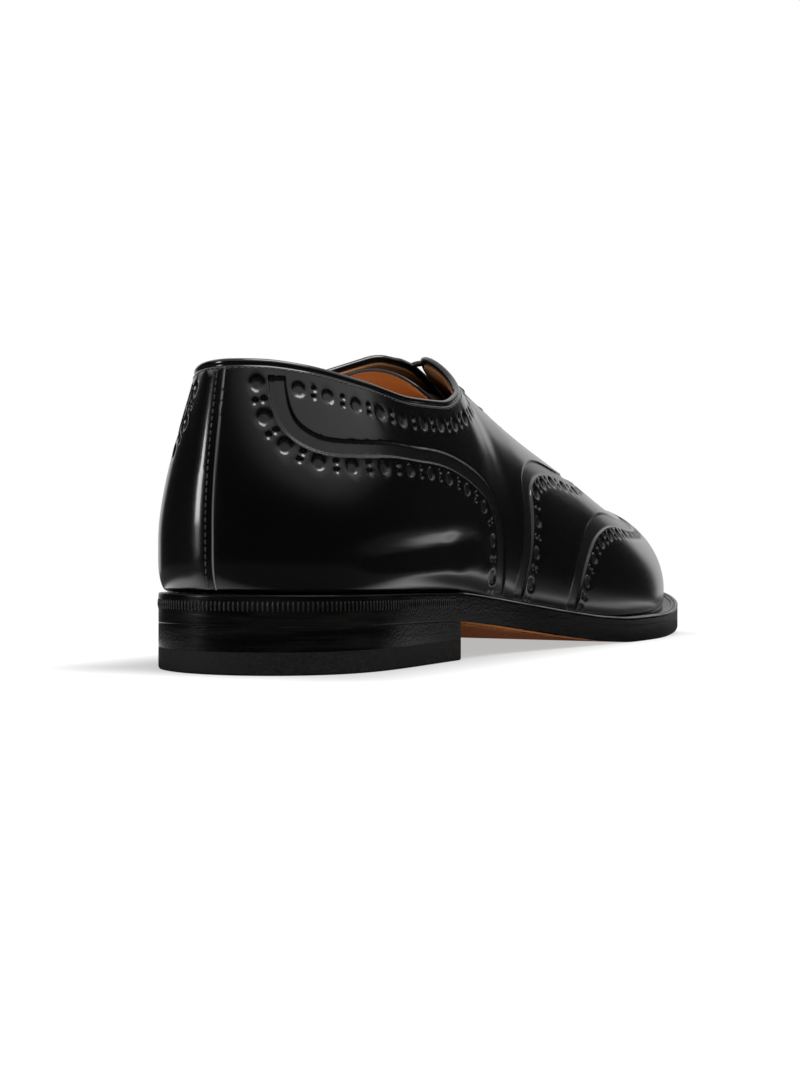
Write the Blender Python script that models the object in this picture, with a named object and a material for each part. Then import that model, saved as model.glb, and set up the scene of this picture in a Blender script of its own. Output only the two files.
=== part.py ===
"""Brogue oxford, right shoe: a one-piece upper on a welted leather sole with a stacked heel.

Sizes are in millimetres until a mesh is made. In the working frame X runs forward from the back of
the heel, Y towards the medial (inner) side of the foot and Z up from the floor.
"""

import bpy
import bmesh
import numpy as np

MILLIMETRE = 0.001

# Driving sizes, in millimetres.
OUTSOLE_THICKNESS = 5.5
WELT_THICKNESS = 2.4
WELT_STRIP_WIDTH = 13.0
HEEL_LENGTH = 79.0
TOP_PIECE_THICKNESS = 6.0
UPPER_WALL = 2.0
INSOLE_THICKNESS = 3.0
INSOLE_MARGIN = 2.7
TONGUE_THICKNESS = 2.0
TONGUE_ARCH = 0.03
LACE_DIAMETER = 2.2
LACE_SIDES = 8
CLEARANCE = 0.3

# How finely the surfaces are divided.
RIBS_PER_SECTION = 3
RIB_STEPS = 12
TONGUE_STEPS = 10
SMALL_STEP = 0.001
COLLAR_SEARCH_ROUNDS = 40
MERGE_DISTANCE = 0.01

LATERAL = -1
MEDIAL = 1

# Underside of the outsole: distance from the back of the heel and height above the floor.
# It lies flat on the floor under the ball of the foot.
UNDERSIDE = [
    (0.0, 12.6),
    (40.0, 12.1),
    (79.0, 11.2),
    (100.0, 9.4),
    (125.0, 6.4),
    (150.0, 3.2),
    (172.0, 0.9),
    (190.0, 0.0),
    (215.0, 0.0),
    (240.0, 0.7),
    (262.0, 2.4),
    (280.0, 4.6),
    (300.0, 8.0),
]

# Sections of the last, from the centre of the heel to the tip of the toe. Each is a rib of the upper
# that rises from the feather line, where upper and welt meet, to the cone, the lacing edge or the ridge.
#   foot_x, lateral_y, medial_y   the feather line on both sides
#   welt                          how far the sole stands out from the feather line
#   top_x, half_top, top_z        the upper end of the rib, with half the width of cone or throat
#   centre_y                      middle of the cone and the throat, or the ridge
#   rise, swell                   height and outward reach of the rib's lower handle
#   drop, reach                   fall and outward reach of the rib's upper handle
#   collar_z, medial_lift         height where the collar cuts the rib, and more on the medial side
SECTION_COLUMNS = (
    "foot_x", "lateral_y", "medial_y", "welt", "top_x", "half_top", "top_z", "centre_y",
    "rise", "swell", "drop", "reach", "collar_z", "medial_lift",
)
SECTIONS = [
    (2.2, 0.0, 0.0, 2.4, 9.5, 0.0, 107.0, 0.0, 20.0, 8.2, 34.0, 4.5, 82.4, 0.0),
    (6.0, -14.8, 14.8, 2.4, 12.5, 6.0, 107.0, 0.0, 20.0, 8.4, 34.0, 4.0, 82.3, 0.0),
    (17.0, -26.2, 26.2, 2.4, 21.0, 12.0, 107.0, 0.0, 20.0, 8.8, 34.0, 6.0, 81.0, 0.2),
    (34.0, -30.9, 30.7, 2.4, 37.0, 14.8, 107.0, 0.0, 21.0, 9.0, 32.0, 11.0, 77.4, 1.0),
    (56.0, -31.4, 30.4, 2.2, 57.0, 16.0, 106.0, 0.0, 22.0, 9.0, 30.0, 13.0, 74.0, 3.4),
    (78.0, -31.2, 29.2, 2.0, 77.0, 15.5, 104.0, 0.0, 23.5, 8.2, 27.0, 13.6, 74.0, 6.5),
    (97.0, -31.8, 27.6, 1.6, 93.5, 13.0, 100.6, 0.0, 26.0, 7.4, 20.0, 14.4, 77.8, 9.0),
    (111.0, -32.6, 27.0, 1.6, 105.0, 9.0, 96.8, 0.2, 29.0, 6.8, 12.5, 15.0, 83.8, 7.4),
    (122.5, -33.8, 27.6, 1.8, 115.4, 5.4, 92.2, 0.6, 31.0, 6.2, 7.0, 16.4, 92.2, 0.0),
    (136.5, -35.8, 29.4, 2.2, 130.5, 4.4, 87.0, 1.2, 31.0, 6.0, 4.6, 19.6, 87.0, 0.0),
    (155.0, -38.6, 34.0, 2.8, 151.0, 3.4, 79.2, 2.0, 29.0, 5.4, 3.0, 23.5, 79.2, 0.0),
    (176.0, -41.2, 40.2, 3.8, 172.0, 2.0, 71.4, 2.8, 27.0, 5.0, 1.6, 26.5, 71.4, 0.0),
    (193.0, -42.6, 44.6, 4.4, 189.0, 0.0, 65.0, 3.4, 25.0, 4.6, 0.2, 29.0, 65.0, 0.0),
    (212.0, -42.6, 47.8, 4.8, 208.0, 0.0, 57.8, 3.8, 23.0, 4.4, 0.3, 29.5, 57.8, 0.0),
    (232.0, -40.2, 46.8, 5.2, 226.0, 0.0, 52.6, 4.0, 22.0, 4.4, 0.8, 28.0, 52.6, 0.0),
    (250.0, -36.0, 42.4, 5.6, 241.0, 0.0, 50.4, 4.0, 21.0, 4.2, 0.8, 26.0, 50.4, 0.0),
    (266.0, -30.2, 35.6, 6.0, 253.0, 0.0, 49.6, 4.0, 20.0, 4.0, 1.0, 24.0, 49.6, 0.0),
    (280.0, -22.4, 27.6, 6.2, 262.0, 0.0, 48.9, 3.8, 19.0, 3.6, 1.5, 22.0, 48.9, 0.0),
    (289.5, -11.8, 17.0, 6.4, 267.0, 0.0, 48.5, 3.4, 18.5, 3.2, 1.9, 20.5, 48.5, 0.0),
    (293.4, 2.6, 2.6, 6.5, 269.0, 0.0, 48.3, 3.0, 18.0, 3.0, 2.1, 20.0, 48.3, 0.0),
]
# The section where the collar meets the lacing edge.
FACING_PLACE = 8
# Columns that cross the middle of heel and toe at a slant; the others are level there.
SLANTED_COLUMNS = ("lateral_y", "medial_y")
# Columns that must not swing past their values.
STEADY_COLUMNS = ("half_top", "collar_z", "medial_lift")

# Tongue, from its seam under the vamp to its free end.
TONGUE_COLUMNS = ("x", "crown_y", "crown_z", "half_width")
TONGUE_SECTIONS = [
    (200.0, 3.4, 58.1, 9.0),
    (192.0, 3.2, 61.1, 11.0),
    (172.0, 2.4, 67.2, 14.0),
    (151.0, 1.2, 74.4, 16.0),
    (130.0, 0.2, 81.2, 16.5),
    (114.0, 0.6, 85.2, 15.5),
    (104.0, 2.4, 86.8, 16.5),
    (98.5, 4.0, 87.2, 15.0),
    (96.5, 4.6, 87.2, 10.0),
]

# Lacing bars, by their place along the sections, and the part of the rib that each one covers.
LACE_PLACES = (8.5, 9.2, 9.9, 10.6, 11.2)
LACE_RIB_STEPS = (0.86, 0.90, 0.95, 1.0)

BLACK_CALF = ((0.012, 0.012, 0.013), 0.22)
BLACK_EDGE = ((0.010, 0.010, 0.010), 0.45)
TAN_LEATHER = ((0.42, 0.20, 0.085), 0.55)
GREY_RUBBER = ((0.075, 0.075, 0.075), 0.75)
BLACK_COTTON = ((0.008, 0.008, 0.008), 0.8)


def smooth_curve(places, values, level_ends):
    """Cubic spline through the values, with level or straight ends."""
    count = len(places)
    spans = np.diff(places)
    slopes = np.diff(values) / spans
    matrix = np.zeros((count, count))
    target = np.zeros(count)
    for i in range(1, count - 1):
        matrix[i, i - 1] = spans[i - 1]
        matrix[i, i] = 2 * (spans[i - 1] + spans[i])
        matrix[i, i + 1] = spans[i]
        target[i] = 6 * (slopes[i] - slopes[i - 1])
    matrix[0, 0] = matrix[-1, -1] = 1
    if level_ends:
        matrix[0, :2] = 2 * spans[0], spans[0]
        matrix[-1, -2:] = spans[-1], 2 * spans[-1]
        target[0] = 6 * slopes[0]
        target[-1] = -6 * slopes[-1]
    bends = np.linalg.solve(matrix, target)

    def curve(place):
        place = np.asarray(place, float)
        i = np.clip(np.searchsorted(places, place) - 1, 0, count - 2)
        span = spans[i]
        after = place - places[i]
        before = places[i + 1] - place
        cubic = (bends[i] * before ** 3 + bends[i + 1] * after ** 3) / (6 * span)
        start = (values[i] / span - bends[i] * span / 6) * before
        end = (values[i + 1] / span - bends[i + 1] * span / 6) * after
        return cubic + start + end

    return curve


def steady_curve(places, values):
    """Cubic curve through the values that never swings past them."""
    count = len(places)
    spans = np.diff(places)
    slopes = np.diff(values) / spans
    tangents = np.zeros(count)
    tangents[0] = slopes[0]
    tangents[-1] = slopes[-1]
    for i in range(1, count - 1):
        if slopes[i - 1] * slopes[i] > 0:
            late = 2 * spans[i] + spans[i - 1]
            early = spans[i] + 2 * spans[i - 1]
            tangents[i] = (late + early) / (late / slopes[i - 1] + early / slopes[i])

    def curve(place):
        place = np.asarray(place, float)
        i = np.clip(np.searchsorted(places, place) - 1, 0, count - 2)
        span = spans[i]
        t = (place - places[i]) / span
        start = values[i] * (1 + 2 * t) * (1 - t) ** 2 + tangents[i] * span * t * (1 - t) ** 2
        end = values[i + 1] * t * t * (3 - 2 * t) + tangents[i + 1] * span * t * t * (t - 1)
        return start + end

    return curve


section_places = np.arange(len(SECTIONS), dtype=float)
toe_place = section_places[-1]
section_curves = {}
for column, values in zip(SECTION_COLUMNS, np.array(SECTIONS).T):
    if column in STEADY_COLUMNS:
        section_curves[column] = steady_curve(section_places, values)
    else:
        section_curves[column] = smooth_curve(section_places, values, column not in SLANTED_COLUMNS)
underside_curve = steady_curve(*np.array(UNDERSIDE).T)


def underside(x):
    """Height of the outsole's underside."""
    return underside_curve(np.clip(x, UNDERSIDE[0][0], UNDERSIDE[-1][0]))


def welt_top(x):
    """Height of the welt's upper face."""
    return underside(x) + OUTSOLE_THICKNESS + CLEARANCE + WELT_THICKNESS


def feather_point(place, side):
    """Plan position of the feather line and its outward direction."""
    foot_x = section_curves["foot_x"]
    foot_y = section_curves["lateral_y" if side == LATERAL else "medial_y"]
    along_x = foot_x(place + SMALL_STEP) - foot_x(place - SMALL_STEP)
    along_y = foot_y(place + SMALL_STEP) - foot_y(place - SMALL_STEP)
    length = np.hypot(along_x, along_y)
    return foot_x(place), foot_y(place), -side * along_y / length, side * along_x / length


def sole_edge(place, side, inset=0.0):
    """Plan position of the sole's edge, or of a line that runs inside it."""
    x, y, out_x, out_y = feather_point(place, side)
    offset = section_curves["welt"](place) - inset
    return np.stack([x + out_x * offset, y + out_y * offset], axis=-1)


def rib_handles(place, side):
    """Foot, lower handle, upper handle and top of the whole rib."""
    value = {column: curve(place) for column, curve in section_curves.items()}
    x, y, out_x, out_y = feather_point(place, side)
    foot = np.stack([x, y, welt_top(x) + CLEARANCE], axis=-1)
    top_y = value["centre_y"] + side * value["half_top"]
    top = np.stack([value["top_x"], top_y, value["top_z"]], axis=-1)
    lower = foot + np.stack([out_x * value["swell"], out_y * value["swell"], value["rise"]], axis=-1)
    upper = top + np.stack([out_x * value["reach"], out_y * value["reach"], -value["drop"]], axis=-1)
    return foot, lower, upper, top


def along_rib(handles, step):
    """Point on the whole rib."""
    foot, lower, upper, top = handles
    step = np.asarray(step, float)[..., None]
    rest = 1 - step
    return rest ** 3 * foot + 3 * step * rest ** 2 * lower + 3 * step ** 2 * rest * upper + step ** 3 * top


def collar_step(place, side, handles):
    """Step of the whole rib where the collar cuts it; ribs in front of the collar keep their whole length."""
    collar_z = section_curves["collar_z"](place)
    if side == MEDIAL:
        collar_z = collar_z + section_curves["medial_lift"](place)
    low = np.zeros_like(place)
    high = np.ones_like(place)
    for _ in range(COLLAR_SEARCH_ROUNDS):
        middle = (low + high) / 2
        is_below = along_rib(handles, middle)[..., 2] < collar_z
        low = np.where(is_below, middle, low)
        high = np.where(is_below, high, middle)
    return np.where(place < FACING_PLACE, high, 1.0)


def rib(place, side, step):
    """Point of the upper's outer face; step runs from 0 at the feather line to 1 at the collar or ridge."""
    place = np.asarray(place, float)
    handles = rib_handles(place, side)
    return along_rib(handles, step * collar_step(place, side, handles))


def rib_normal(place, side, step):
    """Outward direction of the upper's outer face."""
    along = rib(place + SMALL_STEP, side, step) - rib(place - SMALL_STEP, side, step)
    up = rib(place, side, step + SMALL_STEP) - rib(place, side, step - SMALL_STEP)
    normal = np.cross(up, along) * side
    return normal / np.linalg.norm(normal, axis=-1, keepdims=True)


def loft(rings, closed=False, capped=False):
    """Vertices and faces of a skin over rings of equal length."""
    rings = np.asarray(rings, float)
    count, size, _ = rings.shape
    faces = []
    for ring in range(count if closed else count - 1):
        following = (ring + 1) % count
        for k in range(size):
            beside = (k + 1) % size
            faces.append((ring * size + k, ring * size + beside,
                          following * size + beside, following * size + k))
    if capped:
        faces.append(tuple(range(size)))
        faces.append(tuple((count - 1) * size + k for k in range(size)))
    return rings.reshape(-1, 3), faces


def plate(lateral, medial, lower, upper, capped=False):
    """Plate between two edge lines, with its faces at heights that follow x."""
    rings = []
    for left, right in zip(lateral, medial):
        rings.append([
            (left[0], left[1], lower(left[0])),
            (right[0], right[1], lower(right[0])),
            (right[0], right[1], upper(right[0])),
            (left[0], left[1], upper(left[0])),
        ])
    return loft(rings, capped=capped)


def half_places():
    """Places of the ribs on one side, from heel to toe."""
    return np.arange((len(SECTIONS) - 1) * RIBS_PER_SECTION + 1) / RIBS_PER_SECTION


def around():
    """Places and sides of the ribs once around the shoe."""
    half = half_places()
    lateral = [(place, LATERAL) for place in half]
    medial = [(place, MEDIAL) for place in half[-2:0:-1]]
    return lateral + medial


def outsole():
    places = half_places()
    return plate(sole_edge(places, LATERAL), sole_edge(places, MEDIAL), underside,
                 lambda x: underside(x) + OUTSOLE_THICKNESS)


def welt():
    rings = []
    for place, side in around():
        edge = sole_edge(place, side)
        inside = sole_edge(place, side, WELT_STRIP_WIDTH)
        low = underside(edge[0]) + OUTSOLE_THICKNESS + CLEARANCE
        high = welt_top(edge[0])
        inside_shift = underside(inside[0]) - underside(edge[0])
        rings.append([
            (*edge, low),
            (*edge, high),
            (*inside, high + inside_shift),
            (*inside, low + inside_shift),
        ])
    return loft(rings, closed=True)


def heel_places(side):
    """Places along the sole's edge from the back of the heel to its breast."""
    fine = np.linspace(0, toe_place, 2000)
    breast = np.interp(HEEL_LENGTH, sole_edge(fine, side)[:, 0], fine)
    return np.linspace(0, breast, 5 * RIBS_PER_SECTION)


def heel_plate(lower, upper):
    lateral = sole_edge(heel_places(LATERAL), LATERAL)
    medial = sole_edge(heel_places(MEDIAL), MEDIAL)
    vertices, faces = plate(lateral, medial, lower, upper)
    last = len(vertices) - 4
    faces.append((last, last + 1, last + 2, last + 3))
    return vertices, faces


def heel_top_piece():
    return heel_plate(lambda x: 0.0, lambda x: TOP_PIECE_THICKNESS)


def heel_lift():
    return heel_plate(lambda x: TOP_PIECE_THICKNESS + CLEARANCE, lambda x: underside(x) - CLEARANCE)


def insole():
    places = half_places()
    edges = []
    for side in (LATERAL, MEDIAL):
        x, y, out_x, out_y = feather_point(places, side)
        edges.append(np.stack([x - out_x * INSOLE_MARGIN, y - out_y * INSOLE_MARGIN], axis=-1))
    return plate(*edges, lambda x: welt_top(x) + CLEARANCE,
                 lambda x: welt_top(x) + CLEARANCE + INSOLE_THICKNESS)


def upper():
    """Hollow wall of the upper: an outer and an inner face, joined at the feather line and the rim."""
    ribs = around()
    steps = np.linspace(0, 1, RIB_STEPS + 1)
    outer = np.array([rib(np.full(len(steps), place), side, steps) for place, side in ribs])
    normals = np.array([rib_normal(np.full(len(steps), place), side, steps) for place, side in ribs])
    is_shut = [section_curves["half_top"](place) < 1e-6 and place > 1 for place, _ in ribs]
    for k in range(len(ribs)):
        opposite = -k % len(ribs)
        if is_shut[k] and k <= opposite:
            shared = normals[k, -1] + normals[opposite, -1]
            normals[k, -1] = normals[opposite, -1] = shared / np.linalg.norm(shared)
    inner = outer - UPPER_WALL * normals
    inner[:, 0, 2] = outer[:, 0, 2]

    row = len(steps)
    inside = len(ribs) * row
    faces = []
    for k in range(len(ribs)):
        beside = (k + 1) % len(ribs)
        for j in range(RIB_STEPS):
            here, there = k * row + j, beside * row + j
            faces.append((here, there, there + 1, here + 1))
            faces.append((inside + here, inside + here + 1, inside + there + 1, inside + there))
        foot, next_foot = k * row, beside * row
        faces.append((foot, inside + foot, inside + next_foot, next_foot))
        if not (is_shut[k] and is_shut[beside]):
            top, next_top = foot + RIB_STEPS, next_foot + RIB_STEPS
            faces.append((top, next_top, inside + next_top, inside + top))
    return np.concatenate([outer.reshape(-1, 3), inner.reshape(-1, 3)]), faces


def tongue():
    rows = np.array(TONGUE_SECTIONS)
    across = np.linspace(-1, 1, TONGUE_STEPS + 1)
    rings = []
    for x, crown_y, crown_z, half_width in rows:
        y = crown_y + across * half_width
        z = crown_z - TONGUE_ARCH * (across * half_width) ** 2
        face = np.stack([np.full_like(y, x), y, z], axis=-1)
        back = face[::-1] - (0, 0, TONGUE_THICKNESS)
        rings.append(np.concatenate([face, back]))
    return loft(rings, capped=True)


def lace_bar(place):
    """Bar that lies on both sides of the throat and crosses it straight."""
    steps = np.array(LACE_RIB_STEPS)
    lift = LACE_DIAMETER / 2 + CLEARANCE
    path = []
    for side in (LATERAL, MEDIAL):
        places = np.full(len(steps), place)
        points = rib(places, side, steps) + lift * rib_normal(places, side, steps)
        path.extend(points if side == LATERAL else points[::-1])
    path = np.array(path)
    tangents = np.gradient(path, axis=0)
    rings = []
    for point, tangent in zip(path, tangents):
        tangent = tangent / np.linalg.norm(tangent)
        level = np.cross(tangent, (0, 0, 1))
        level = level / np.linalg.norm(level)
        raised = np.cross(level, tangent)
        turns = np.arange(LACE_SIDES) * 2 * np.pi / LACE_SIDES
        ring = [point + LACE_DIAMETER / 2 * (np.cos(turn) * level + np.sin(turn) * raised) for turn in turns]
        rings.append(ring)
    return loft(rings, capped=True)


def make_material(name, colour, roughness):
    material = bpy.data.materials.new(name)
    material.use_nodes = True
    shader = material.node_tree.nodes["Principled BSDF"]
    shader.inputs["Base Color"].default_value = (*colour, 1)
    shader.inputs["Roughness"].default_value = roughness
    shader.inputs["Metallic"].default_value = 0.0
    return material


def make_object(name, vertices, faces, finish):
    """Closed mesh object from a skin whose end rings may have shrunk to a line."""
    mesh = bpy.data.meshes.new(name)
    skin = bmesh.new()
    points = [skin.verts.new(vertex * MILLIMETRE) for vertex in vertices]
    for face in faces:
        skin.faces.new([points[k] for k in face])
    bmesh.ops.remove_doubles(skin, verts=skin.verts, dist=MERGE_DISTANCE * MILLIMETRE)
    bmesh.ops.recalc_face_normals(skin, faces=skin.faces)
    skin.to_mesh(mesh)
    skin.free()
    mesh.shade_smooth()
    mesh.set_sharp_from_angle(angle=np.radians(40))
    mesh.materials.append(make_material(name + "_material", *finish))
    item = bpy.data.objects.new(name, mesh)
    bpy.context.collection.objects.link(item)
    return item


def build():
    for item in list(bpy.data.objects):
        bpy.data.objects.remove(item, do_unlink=True)
    pieces = [
        ("outsole", outsole(), BLACK_EDGE),
        ("welt", welt(), BLACK_EDGE),
        ("heel_lift", heel_lift(), BLACK_EDGE),
        ("heel_top_piece", heel_top_piece(), GREY_RUBBER),
        ("upper", upper(), BLACK_CALF),
        ("insole", insole(), TAN_LEATHER),
        ("tongue", tongue(), BLACK_CALF),
    ]
    for number, place in enumerate(LACE_PLACES, start=1):
        pieces.append((f"lace_bar_{number}", lace_bar(place), BLACK_COTTON))

    # The origin goes under the middle of the whole shoe, on the floor.
    everything = np.concatenate([vertices for _, (vertices, _), _ in pieces])
    middle = (everything.min(axis=0) + everything.max(axis=0)) / 2
    origin = np.array([middle[0], middle[1], 0.0])
    for name, (vertices, faces), finish in pieces:
        make_object(name, vertices - origin, faces, finish)


build()
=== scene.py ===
# Black brogue oxford, right shoe, seen from behind its lateral side.
# Lengths in the tables are millimetres of the last: X forward from the back of the heel,
# Y towards the medial (inner) side and Z up from the floor.

import math

import bpy
import numpy as np
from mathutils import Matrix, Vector
from mathutils.kdtree import KDTree


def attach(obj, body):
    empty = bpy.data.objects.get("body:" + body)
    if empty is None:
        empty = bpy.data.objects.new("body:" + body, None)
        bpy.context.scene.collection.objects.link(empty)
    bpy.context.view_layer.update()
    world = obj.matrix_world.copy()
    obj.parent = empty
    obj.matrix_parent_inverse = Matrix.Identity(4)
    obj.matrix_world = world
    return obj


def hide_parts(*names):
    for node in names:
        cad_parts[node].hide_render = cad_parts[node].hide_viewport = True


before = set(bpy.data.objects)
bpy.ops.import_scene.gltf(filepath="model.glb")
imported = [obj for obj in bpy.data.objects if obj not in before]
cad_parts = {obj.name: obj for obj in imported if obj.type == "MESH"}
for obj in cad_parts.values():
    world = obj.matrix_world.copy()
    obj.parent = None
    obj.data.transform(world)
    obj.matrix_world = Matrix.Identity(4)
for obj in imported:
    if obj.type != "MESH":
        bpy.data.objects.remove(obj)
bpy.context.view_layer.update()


# Photographic set
# A white table under soft boxes, in front of a white ground. The camera stands low and close,
# behind the lateral side of the heel, and looks level along the shoe.
CAMERA_PLACE = (-0.5256, -0.2509, 0.0347)
CAMERA_HEADING = math.radians(27.3)
CAMERA_LENS = 58.6
CAMERA_SENSOR = 36.0
CAMERA_SHIFT = 0.0066
CAMERA_NEAREST = 0.01

bpy.ops.object.select_all(action="DESELECT")
bpy.ops.object.camera_add(
    location=CAMERA_PLACE,
    rotation=(math.pi / 2, 0, CAMERA_HEADING - math.pi / 2),
)
camera = bpy.context.object
camera.data.lens = CAMERA_LENS
camera.data.sensor_fit = "VERTICAL"
camera.data.sensor_height = CAMERA_SENSOR
camera.data.shift_y = CAMERA_SHIFT
camera.data.clip_start = CAMERA_NEAREST
bpy.context.scene.camera = camera
bpy.context.scene.view_settings.view_transform = "Standard"


def add_node(tree, kind, inputs=(), **settings):
    """A node with its settings; inputs are pairs of a socket and a value or another node's output."""
    node = tree.nodes.new(kind)
    for setting, value in settings.items():
        setattr(node, setting, value)
    for socket, value in dict(inputs).items():
        if isinstance(value, bpy.types.NodeSocket):
            tree.links.new(value, node.inputs[socket])
        else:
            node.inputs[socket].default_value = value
    return node


def link(finish, output, shader, socket):
    """Links an output to a socket of a shader, in a finish or in the room."""
    finish.node_tree.links.new(output, shader.inputs[socket])


def calculate(tree, operation, *values):
    """Result of a calculation with numbers."""
    return add_node(tree, "ShaderNodeMath", dict(enumerate(values)), operation=operation).outputs[0]


def calculate_vector(tree, operation, *vectors):
    """Result of a calculation with vectors: a number for a length or a product, otherwise a vector."""
    node = add_node(tree, "ShaderNodeVectorMath", dict(enumerate(vectors)), operation=operation)
    return node.outputs["Value" if operation in ("LENGTH", "DOT_PRODUCT") else "Vector"]


def fade(tree, value, start, end, first, last, interpolation="LINEAR"):
    """A number that goes from first to last while a value goes from start to end."""
    return add_node(tree, "ShaderNodeMapRange", {
        "Value": value, "From Min": start, "From Max": end, "To Min": first, "To Max": last,
    }, interpolation_type=interpolation).outputs["Result"]


def mix_colours(tree, share, first, second):
    """A colour between two, by the share of the second."""
    return add_node(tree, "ShaderNodeMix", {0: share, 6: first, 7: second}, data_type="RGBA").outputs[2]


# To the camera the table has a dark base and a painted glow, though it is no lamp, so its shadows stay
# pale; near the sole the glow is painted darker, a painted shadow. It also sends a weaker painted glow up
# under the sole. Its rim fades into the ground.
TABLE_RADIUS = 0.62
TABLE_SIDES = 96
TABLE_FADE_START = 0.3
TABLE_ROUGHNESS = 0.8
TABLE_SPECULAR = 0.1
WHITE = (1, 1, 1, 1)
TABLE_WHITE = (0.9, 0.9, 0.9, 1)
TABLE_SEEN = (0.2, 0.2, 0.2, 1)
TABLE_MIRRORED_SHADE = (0.04, 0.04, 0.04, 1)
# Painted glow the camera sees on the table: beside the sole, where it paints a shadow, and far from it.
TABLE_PAINTED_GLOW_SEEN = (0.47, 0.92)
TABLE_PAINTED_GLOW_SENT = 0.15
# What the leather mirrors of the table is a white oval: its middle, turn and half lengths, and how far
# past them the white ends; past it the table is painted dark to the leather, a painted shade in its
# reflections. A second oval, beside the forepart, is painted dark to the leather in the same way.
MIRRORED_MIDDLE = (0.03, -0.015, 0.0)
MIRRORED_TURN = math.radians(-22)
MIRRORED_OVAL = (0.22, 0.083)
MIRRORED_END = 1.25
FRONT_SHADE_MIDDLE = (0.105, -0.035, 0.0)
FRONT_SHADE_OVAL = (0.12, 0.065)
FRONT_SHADE_END = 1.3
# Both the mirrored white and what the camera sees are painted darker beside the sole, a painted shadow:
# middle and half lengths of a box under the shoe, and between which distances from it each of the two
# painted shades fades.
SHADED_MIDDLE = (-0.02, 0.0, 0.0)
SHADED_BOX = (0.115, 0.0325, 0.0)
MIRRORED_PAINTED_SHADE = (0.012, 0.022)
SEEN_PAINTED_SHADOW = (0.0, 0.04)

bpy.ops.mesh.primitive_circle_add(vertices=TABLE_SIDES, radius=TABLE_RADIUS, fill_type="NGON")
table = bpy.context.object
table.name = "table"
table_white = bpy.data.materials.new("table_white")
table_white.use_nodes = True
table_tree = table_white.node_tree
table_shader = table_tree.nodes["Principled BSDF"]
table_shader.inputs["Roughness"].default_value = TABLE_ROUGHNESS
table_shader.inputs["Specular IOR Level"].default_value = TABLE_SPECULAR
table_shader.inputs["Emission Color"].default_value = WHITE
table_place = add_node(table_tree, "ShaderNodeTexCoord").outputs["Object"]
table_ray = add_node(table_tree, "ShaderNodeLightPath")
table_distance = calculate_vector(table_tree, "LENGTH", table_place)
table_fade = fade(table_tree, table_distance, TABLE_FADE_START, TABLE_RADIUS, 1.0, 0.0, "SMOOTHSTEP")


def oval_distance(middle, turn, half_lengths):
    """Distance of a place on the table from the middle of an oval, 1 on its line."""
    placed = add_node(table_tree, "ShaderNodeMapping", {
        "Vector": table_place,
        "Location": middle,
        "Rotation": (0.0, 0.0, turn),
        "Scale": (*half_lengths, 1.0),
    }, vector_type="TEXTURE")
    return calculate_vector(table_tree, "LENGTH", placed.outputs["Vector"])


white_distance = oval_distance(MIRRORED_MIDDLE, MIRRORED_TURN, MIRRORED_OVAL)
front_shade_distance = oval_distance(FRONT_SHADE_MIDDLE, 0.0, FRONT_SHADE_OVAL)
from_box = calculate_vector(table_tree, "SUBTRACT", table_place, SHADED_MIDDLE)
either_side = calculate_vector(table_tree, "ABSOLUTE", from_box)
past_box = calculate_vector(table_tree, "SUBTRACT", either_side, SHADED_BOX)
out_of_box = calculate_vector(table_tree, "MAXIMUM", past_box, (0.0, 0.0, 0.0))
box_distance = calculate_vector(table_tree, "LENGTH", out_of_box)
past_white = fade(table_tree, white_distance, 1.0, MIRRORED_END, 0.0, 1.0)
in_front_shade = fade(table_tree, front_shade_distance, 1.0, FRONT_SHADE_END, 1.0, 0.0)
in_painted_shade = fade(table_tree, box_distance, *MIRRORED_PAINTED_SHADE, 1.0, 0.0)
# Painted shadow: the glow the camera sees fades darker towards the box under the shoe.
seen_painted_glow = fade(table_tree, box_distance, *SEEN_PAINTED_SHADOW, *TABLE_PAINTED_GLOW_SEEN, "SMOOTHSTEP")
# Painted shade in what the leather mirrors: dark past the white oval, beside the sole and beside the
# forepart.
white_lost = calculate(table_tree, "MAXIMUM", past_white, in_painted_shade)
painted_shade_share = calculate(table_tree, "MAXIMUM", white_lost, in_front_shade)
mirrored_share = calculate(table_tree, "MULTIPLY", painted_shade_share, table_ray.outputs["Is Glossy Ray"])
mirrored_tone = mix_colours(table_tree, mirrored_share, TABLE_WHITE, TABLE_MIRRORED_SHADE)
table_tone = mix_colours(table_tree, table_ray.outputs["Is Camera Ray"], mirrored_tone, TABLE_SEEN)
# Painted glow: to diffuse rays the table sends a weak glow of its own, which lights the sole from below.
painted_glow_sent = calculate(table_tree, "MULTIPLY", table_ray.outputs["Is Diffuse Ray"], TABLE_PAINTED_GLOW_SENT)
table_painted_glow = calculate(
    table_tree, "MULTIPLY_ADD", table_ray.outputs["Is Camera Ray"], seen_painted_glow, painted_glow_sent)
link(table_white, table_fade, table_shader, "Alpha")
link(table_white, table_tone, table_shader, "Base Color")
link(table_white, table_painted_glow, table_shader, "Emission Strength")
table.data.materials.append(table_white)

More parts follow.
